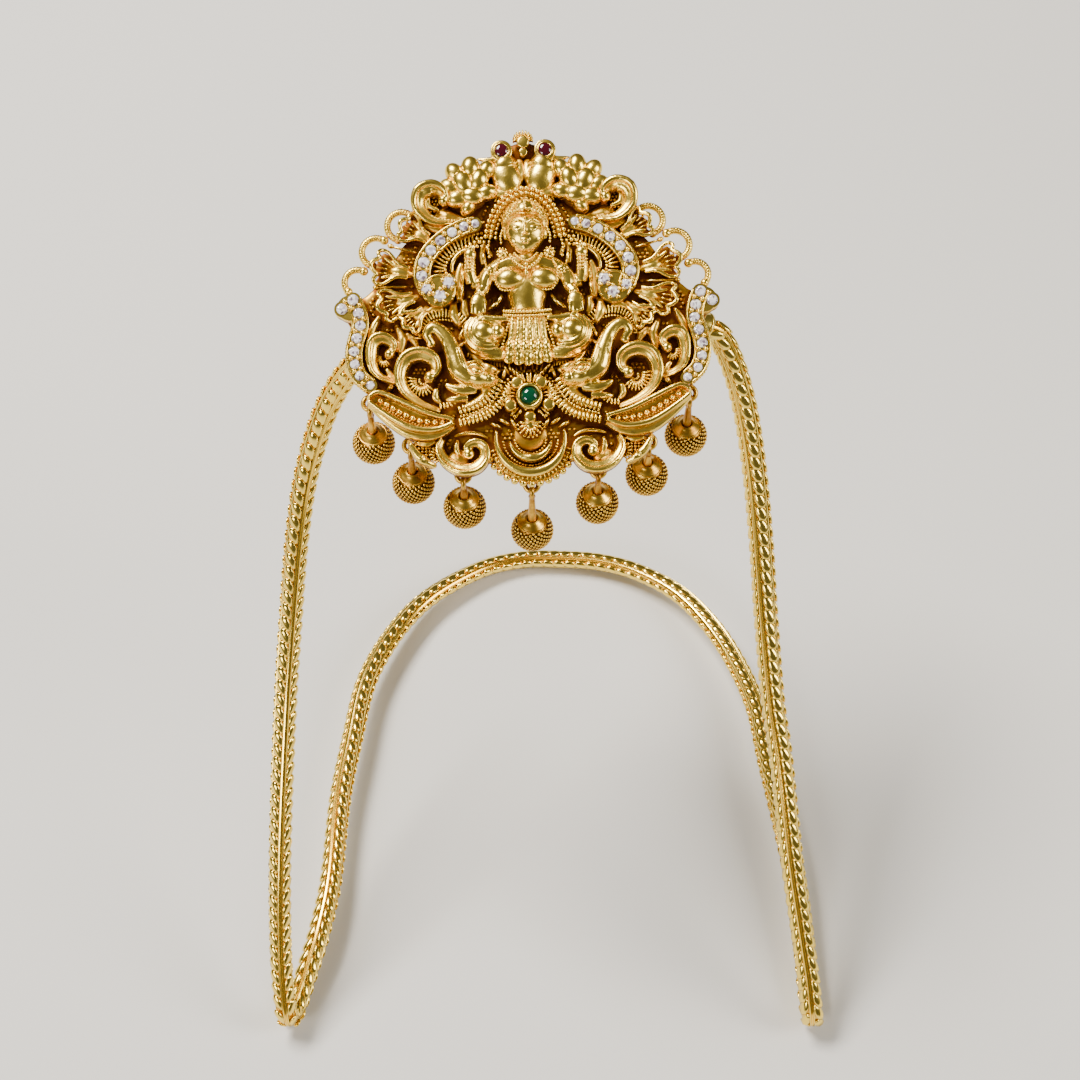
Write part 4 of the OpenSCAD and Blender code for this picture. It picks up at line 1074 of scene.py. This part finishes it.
def unit(v):
    return v / max(np.linalg.norm(v), TINY)


def hook_of(across, up, out=-1.05):
    """Where a point of the plaque is, in millimetres over the ground."""
    return np.array(PLAQUE @ Vector((across, up, out))) / MM


LUGS = [(hook_of(-20.2, 0.2), np.array(ROUTE[0]) + STAND), (hook_of(20.2, 2.6), np.array(ROUTE[-1]) + STAND)]


def finished(o, name, node, slot):
    """Brings a piece from millimetres over the ground to its place, and notes it."""
    apply_here(o)
    o.data.transform(Matrix.Scale(MM, 4))
    o.name = name
    keep(o, node, slot)


def chain_section():
    """The four sides of the core, each with its raised flat band."""
    side = [(-0.78, 0.98), (-0.42, 1.2), (-0.36, 1.42), (-0.2, 1.5), (-0.14, 1.4), (-0.08, 1.5), (0.08, 1.5),
            (0.14, 1.4), (0.2, 1.5), (0.36, 1.42), (0.42, 1.2)]
    section = []
    for k in range(4):
        c, s = math.cos(math.pi / 2 * k), math.sin(math.pi / 2 * k)
        section += [(x * c - y * s, x * s + y * c) for x, y in side[::-1]]
    return section


def make_chain():
    ends = [hook + CHAIN_START * unit(first - hook) for hook, first in LUGS]
    line = through([ends[0], *[np.array(p) + STAND for p in ROUTE], ends[1]], 12)
    run = run_of(line)

    def point_at(s):
        return np.array([np.interp(s, run, line[:, k]) for k in range(3)])

    def frame_at(s):
        at = point_at(s)
        way = unit(point_at(min(s + 0.6, run[-1])) - point_at(max(s - 0.6, 0)))
        from_arm = (at - STAND) - ARM * np.dot(at - STAND, ARM)
        side = unit(np.cross(way, from_arm))
        return at, way, side, np.cross(side, way)

    section = chain_section()
    steps = int(run[-1] / CORE_STEP)
    frames = [frame_at(run[-1] * i / steps) for i in range(steps + 1)]

    def core_point(i, k):
        at, _way, side, out = frames[i]
        x, y = section[k % len(section)]
        return at + side * x + out * y

    core = sheet_of(steps, len(section), core_point, "chain_core")
    middles = np.array([f[0] for f in frames])
    away = np.array([math.sqrt(((middles - p) ** 2).sum(axis=1).min()) for p in corners_of(core)])
    mark_hollow(core, 1.25 - 1.1 * (away - GROOVE_OUT) / BAND_RISE)
    smooth_shade(core, 30)

    leaf = apply_here(egg((0, 0, 0), LEAF_HALF, segments=8))
    for v in leaf.data.vertices:
        v.co.y *= 1 - 0.22 * v.co.x / LEAF_HALF[0]
        v.co.z -= 0.12 * v.co.y ** 2
    smooth_shade(leaf, 50)
    # Painted shade: each leaf is marked darker on its underside, which faces the core, and at its front end,
    # which lies under the next leaf, and lighter on its top.
    leaf_painted_shade = np.array([0.75 - 1.1 * (v.co.z + 0.36) / 0.72 + 0.25 * v.co.x for v in leaf.data.vertices])
    places = []
    length = run[-1] - 2 * LEAF_MARGIN
    count = int(length / LEAF_STEP)
    for corner in range(4):
        a = math.pi / 4 + math.pi / 2 * corner
        turn = LEAF_TWIST * (1 if corner % 2 else -1)
        for i in range(count + 1):
            s = LEAF_MARGIN + length * (i + 0.5 * (corner % 2)) / (count + 0.5)
            at, way, side, out = frame_at(min(s, run[-1] - LEAF_MARGIN))
            up = side * math.cos(a) + out * math.sin(a)
            lie = unit(way - 0.2 * up)
            lie = unit(lie * math.cos(turn) + np.cross(up, lie) * math.sin(turn))
            across = unit(np.cross(up, lie))
            axes = np.column_stack([lie, across, np.cross(lie, across), at + up * LEAF_OUT])
            places.append(Matrix([*axes.tolist(), [0, 0, 0, 1]]))
    leaves = copies(leaf, places, "chain_leaves")
    mark_hollow(leaves, np.tile(leaf_painted_shade, len(places)))
    finished(join([core, leaves], "woven_chain"), "woven_chain", "chain", "chain_gold")


def aimed(o, at, way):
    """Stands a piece made upright at the origin on a place, along a direction."""
    turn = Vector(way).to_track_quat("Z", "X").to_matrix().to_4x4()
    apply_here(o)
    o.data.transform(Matrix.Translation(Vector(at)) @ turn)
    return o


def lug_ring(at, way):
    return aimed(smooth_shade(hoop((0, 0, 0), LUG_R, LUG_WIRE, sides=40, round_sides=14)), at, way)


def make_ends():
    """A cap with its ring on each end of the chain; gives back the rings that belong to the plate."""
    outline = [(0, 0), (2.06, 0), (2.16, 0.12), (2.14, 0.34), (2.02, 0.42), (2.0, 0.55), (1.55, 1.4),
               (1.28, 2.0), (1.2, 2.2), (0, 2.25)]
    rings = []
    plate_out = np.array(PLAQUE.to_3x3() @ Vector((0, 0, 1))) / MM
    for (hook, first), side in zip(LUGS, ("left", "right")):
        way = unit(first - hook)
        square = unit(np.cross(first - hook, plate_out))
        rings.append(lug_ring(hook, square))
        cap_ring = lug_ring(hook + way * RING_REACH, np.cross(way, square))
        cone = aimed(turned_shape(outline, 32, "cap_cone"), hook + way * (CHAIN_START - 0.05), -way)
        cap = join([cap_ring, cone], "end_cap_" + side)
        mark_hollow(cap, np.full(len(cap.data.vertices), CAP_MARK))
        finished(cap, "chain_cap_" + side, "end_cap_" + side, "chain_gold")
    return rings


# Hanging beads: a smooth shoulder round the hole, and grains laid in a spiral below the rim
BEAD_R, HOLE_R, HOLE_FLOOR = 2.78, 0.66, 1.9
# The shoulder's edge, and the height and radius of the rim, as shares of the bead's radius
SHOULDER, RIM_AT, RIM_R = 0.7, 0.73, 0.683
GRAIN_COUNT, GRAIN_R = 340, 0.24
# The neck: radius at its foot and head, height of its foot, and how far its head stays below the ring
NECK_LOW, NECK_HIGH, NECK_FOOT, NECK_SHORT = 0.62, 0.37, 2.5, 0.9
# How dark the smooth parts are
SHOULDER_MARK, HOLE_MARK, NECK_MARK = 0.24, 0.95, 0.36


def make_drop(number, x, y, hang):
    r = BEAD_R
    outline = [(0, HOLE_FLOOR), (0.48, HOLE_FLOOR), (0.6, 2.1), (HOLE_R, r - 0.14), (0.8, r), (1.0, r - 0.1),
               (1.14, r - 0.2)]
    outline += [(r * math.cos(a), r * math.sin(a)) for a in np.linspace(1.13, -math.pi / 2, 24)]
    bead = turned_shape(outline, 40, "bead")
    rim = hoop((0, 0, RIM_AT * r), RIM_R * r, 0.11, sides=48, round_sides=8)
    places = []
    for k in range(GRAIN_COUNT):
        z = max(0.68 - 1.67 * (k + 0.5) / GRAIN_COUNT, -0.995)
        a = k * math.pi * (3 - math.sqrt(5))
        flat = r * math.sqrt(1 - z * z)
        places.append(place((flat * math.cos(a), flat * math.sin(a), r * z), GRAIN_R))
    nubs = copies(grain_seed(7, 4), places, "bead_grains")
    low, high = NECK_FOOT, hang - NECK_SHORT
    neck = added(bpy.ops.mesh.primitive_cone_add, (0, 0, (low + high) / 2), vertices=24, radius1=NECK_LOW,
                 radius2=NECK_HIGH, depth=high - low)
    fittings = [egg((0, 0, -3.28), (0.75, 0.75, 0.72), segments=24), neck,
                hoop((0, 0, hang - 0.05), 0.85, 0.35, turn=(0, math.pi / 2, 0), sides=32, round_sides=12),
                hoop((0, 0, hang - 1.15), 0.36, 0.13, sides=20, round_sides=8)]
    fittings = [smooth_shade(part, 50) for part in fittings]
    drop = apply_here(join([bead, smooth_shade(rim), nubs, *fittings], "drop"))

    co = corners_of(drop)
    out, up = np.linalg.norm(co, axis=1), co[:, 2]
    hollow = np.where(up > SHOULDER * r, SHOULDER_MARK, 1.0 - (out - r + 0.03) / GRAIN_R)
    in_the_hole = (up > HOLE_FLOOR - 0.2) & (np.hypot(co[:, 0], co[:, 1]) < HOLE_R + 0.01) & (out < r - 0.3)
    hollow = np.where(in_the_hole, HOLE_MARK, hollow)
    mark_hollow(drop, np.where(up > r + 0.15, NECK_MARK, hollow))
    drop.data.transform(Matrix.Translation(Vector(hook_of(x, y, -0.1) - (0, 0, hang))))
    finished(drop, "bead_drop_%d" % number, "drop_%d" % number, "bead_gold")


make_chain()
plate_rings = make_ends()
for number, drop_at in enumerate(DROPS, 1):
    make_drop(number, *drop_at)
for ring in plate_rings:
    mark_hollow(ring, np.full(len(ring.data.vertices), OPEN_MARK))
    ring.data.transform(Matrix.Scale(MM, 4))
join([plate, *plate_rings], "plate_with_rings")


# Finishes
def linear(c):
    """Shader colour for a screen colour given from 0 to 255."""
    return tuple(((v / 255 + 0.055) / 1.055) ** 2.4 if v > 10 else v / 255 / 12.92 for v in c) + (1,)


def node(tree, kind, given=(), **settings):
    """Shader node with its settings, and with the given values at its inputs."""
    made = tree.nodes.new("ShaderNode" + kind)
    for name, value in settings.items():
        setattr(made, name, value)
    for name, value in dict(given).items():
        made.inputs[name].default_value = value
    return made


def wire_up(tree, *links):
    """Joins the nodes; each link is (node, output, node, input)."""
    for a, output, b, into in links:
        tree.links.new(a.outputs[output], b.inputs[into])


def gold_group():
    """Gold that is bright where hands have rubbed it and dark in its hollows; on the chain's leaves the same
    mark carries painted shade.
    """
    tree = bpy.data.node_groups.new("aged_gold", "ShaderNodeTree")
    for way, kind, names in (("INPUT", "NodeSocketColor", ("Rubbed", "Body", "Hollow")),
                             ("INPUT", "NodeSocketFloat", ("Grime", "Mottle", "Shine")),
                             ("OUTPUT", "NodeSocketColor", ("Colour",)),
                             ("OUTPUT", "NodeSocketFloat", ("Roughness", "Height"))):
        for name in names:
            tree.interface.new_socket(name, in_out=way, socket_type=kind)
    given, made = tree.nodes.new("NodeGroupInput"), tree.nodes.new("NodeGroupOutput")
    depth = node(tree, "Attribute", attribute_name="hollow")
    spot = node(tree, "TexCoord")
    patches = node(tree, "TexNoise", {"Scale": 420, "Detail": 4})
    fine = node(tree, "TexNoise", {"Scale": 1400, "Detail": 2})
    mottled = node(tree, "Math", operation="MULTIPLY_ADD")
    level = node(tree, "Math", operation="ADD")
    low = node(tree, "MapRange", {"From Min": 0.28, "From Max": 0.62}, interpolation_type="SMOOTHSTEP")
    deep = node(tree, "MapRange", {"From Min": 0.6, "From Max": 1.05}, interpolation_type="SMOOTHSTEP")
    first, second = node(tree, "Mix", data_type="RGBA"), node(tree, "Mix", data_type="RGBA")
    rough = node(tree, "Math", {1: 0.3}, operation="MULTIPLY_ADD")
    wire_up(tree, (spot, "Object", patches, "Vector"), (spot, "Object", fine, "Vector"),
            (patches, "Fac", mottled, 0), (given, "Mottle", mottled, 1), (depth, "Fac", mottled, 2),
            (mottled, 0, level, 0), (given, "Grime", level, 1),
            (level, 0, low, "Value"), (level, 0, deep, "Value"),
            (low, 0, first, "Factor"), (given, "Rubbed", first, "A"), (given, "Body", first, "B"),
            (deep, 0, second, "Factor"), (first, "Result", second, "A"), (given, "Hollow", second, "B"),
            (level, 0, rough, 0), (given, "Shine", rough, 2), (second, "Result", made, "Colour"),
            (rough, 0, made, "Roughness"), (fine, "Fac", made, "Height"))
    return tree


AGED = gold_group()


def new_finish(name):
    """New material, with its node tree and its main shader."""
    m = bpy.data.materials.new(name)
    m.use_nodes = True
    return m, m.node_tree, m.node_tree.nodes["Principled BSDF"]


def gold(name, rubbed, body, hollow, grime, shine, bump, mottle=0.18):
    m, tree, metal = new_finish(name)
    metal.inputs["Metallic"].default_value = 1
    tones = {"Rubbed": linear(rubbed), "Body": linear(body), "Hollow": linear(hollow)}
    age = node(tree, "Group", {**tones, "Grime": grime, "Mottle": mottle, "Shine": shine}, node_tree=AGED)
    tilt = node(tree, "Bump", {"Strength": bump, "Distance": 0.00012})
    wire_up(tree, (age, "Colour", metal, "Base Color"), (age, "Roughness", metal, "Roughness"),
            (age, "Height", tilt, "Height"), (tilt, "Normal", metal, "Normal"))
    return m


def stone(name, colour, clear, rough, bending):
    m, _tree, glass = new_finish(name)
    glass.inputs["Base Color"].default_value = linear(colour)
    glass.inputs["Transmission Weight"].default_value = clear
    glass.inputs["Roughness"].default_value = rough
    glass.inputs["IOR"].default_value = bending
    return m


def stone_with_painted_glints(name):
    """Clear stone with painted glints: small patches of white and lilac grey in its colour stand in for the
    flashes of its inner faces.
    """
    m = stone(name, (255, 255, 255), 0.25, 0.02, 2.1)
    tree, glass = m.node_tree, m.node_tree.nodes["Principled BSDF"]
    spot = node(tree, "TexCoord")
    cells = node(tree, "TexVoronoi", {"Scale": 3000})
    # Painted glints: these grey, lilac grey and white tones are painted flashes of light off the stone's
    # facets.
    glint_ramp = node(tree, "ValToRGB")
    tilt = node(tree, "Bump", {"Strength": 0.5, "Distance": 0.00015})
    stops = glint_ramp.color_ramp.elements
    glint_ramp.color_ramp.interpolation = "CONSTANT"
    stops[0].color = linear((128, 112, 124))
    for at, tone in ((0.26, (196, 182, 196)), (0.42, (242, 234, 240)), (0.6, (255, 255, 255))):
        stops.new(at).color = linear(tone)
    stops.remove(stops[-1])
    wire_up(tree, (spot, "Object", cells, "Vector"), (cells, "Color", glint_ramp, "Fac"),
            (glint_ramp, "Color", glass, "Base Color"), (cells, "Distance", tilt, "Height"),
            (tilt, "Normal", glass, "Normal"))
    return m


FINISH = {
    "antique_gold": gold("antique_gold", (252, 216, 92), (208, 160, 54), (116, 66, 24), -0.02, 0.22, 0.3),
    "chain_gold": gold("chain_gold", (252, 219, 100), (212, 166, 60), (112, 72, 24), -0.1, 0.18, 0.08),
    "bead_gold": gold("bead_gold", (238, 192, 76), (150, 98, 30), (58, 32, 10), -0.3, 0.2, 0.12, mottle=0.9),
    "clear_stone": stone_with_painted_glints("clear_stone"),
    "dark_red_stone": stone("dark_red_stone", (74, 6, 24), 0.35, 0.05, 1.76),
    "dark_green_stone": stone("dark_green_stone", (3, 74, 46), 0.4, 0.05, 1.58),
}
for piece, node_name, slot in PIECES:
    piece.data.materials.clear()
    piece.data.materials.append(FINISH[slot])
    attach(piece, "root")
    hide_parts(node_name)


# Pale floor, soft light and the camera
floor = added(bpy.ops.mesh.primitive_plane_add, size=6)
floor.name = "floor"
paper, _tree, matt = new_finish("pale_floor")
matt.inputs["Base Color"].default_value = (0.62, 0.61, 0.59, 1)
matt.inputs["Roughness"].default_value = 0.9
floor.data.materials.append(paper)


def softbox(name, at, size, power):
    """Soft lamp that looks at the middle of the plaque."""
    lamp = added(bpy.ops.object.light_add, at, type="AREA")
    lamp.name = name
    lamp.data.shape = "RECTANGLE"
    lamp.data.size, lamp.data.size_y = size
    lamp.data.energy = power
    lamp.data.color = (1, 0.95, 0.87)
    lamp.rotation_euler = (Vector((0, 0.02, 0.09)) - Vector(at)).to_track_quat("-Z", "Y").to_euler()


softbox("key_softbox", (-0.35, 0.25, 0.75), (0.4, 0.24), 16)
softbox("side_softbox", (0.6, -0.1, 0.45), (0.25, 0.4), 4.4)
softbox("front_softbox", (-0.45, -0.5, 0.4), (0.3, 0.2), 3)

world = bpy.data.worlds.new("studio") if bpy.context.scene.world is None else bpy.context.scene.world
bpy.context.scene.world = world
world.use_nodes = True
world.node_tree.nodes["Background"].inputs["Color"].default_value = (1, 0.94, 0.84, 1)
world.node_tree.nodes["Background"].inputs["Strength"].default_value = 0.12

bpy.ops.object.camera_add(location=(-0.00115, -0.14964, 0.29215), rotation=(math.radians(34), 0, 0))
camera = bpy.context.object
camera.data.lens = 65
camera.data.sensor_width = 36
camera.data.clip_start = 0.01
bpy.context.scene.camera = camera
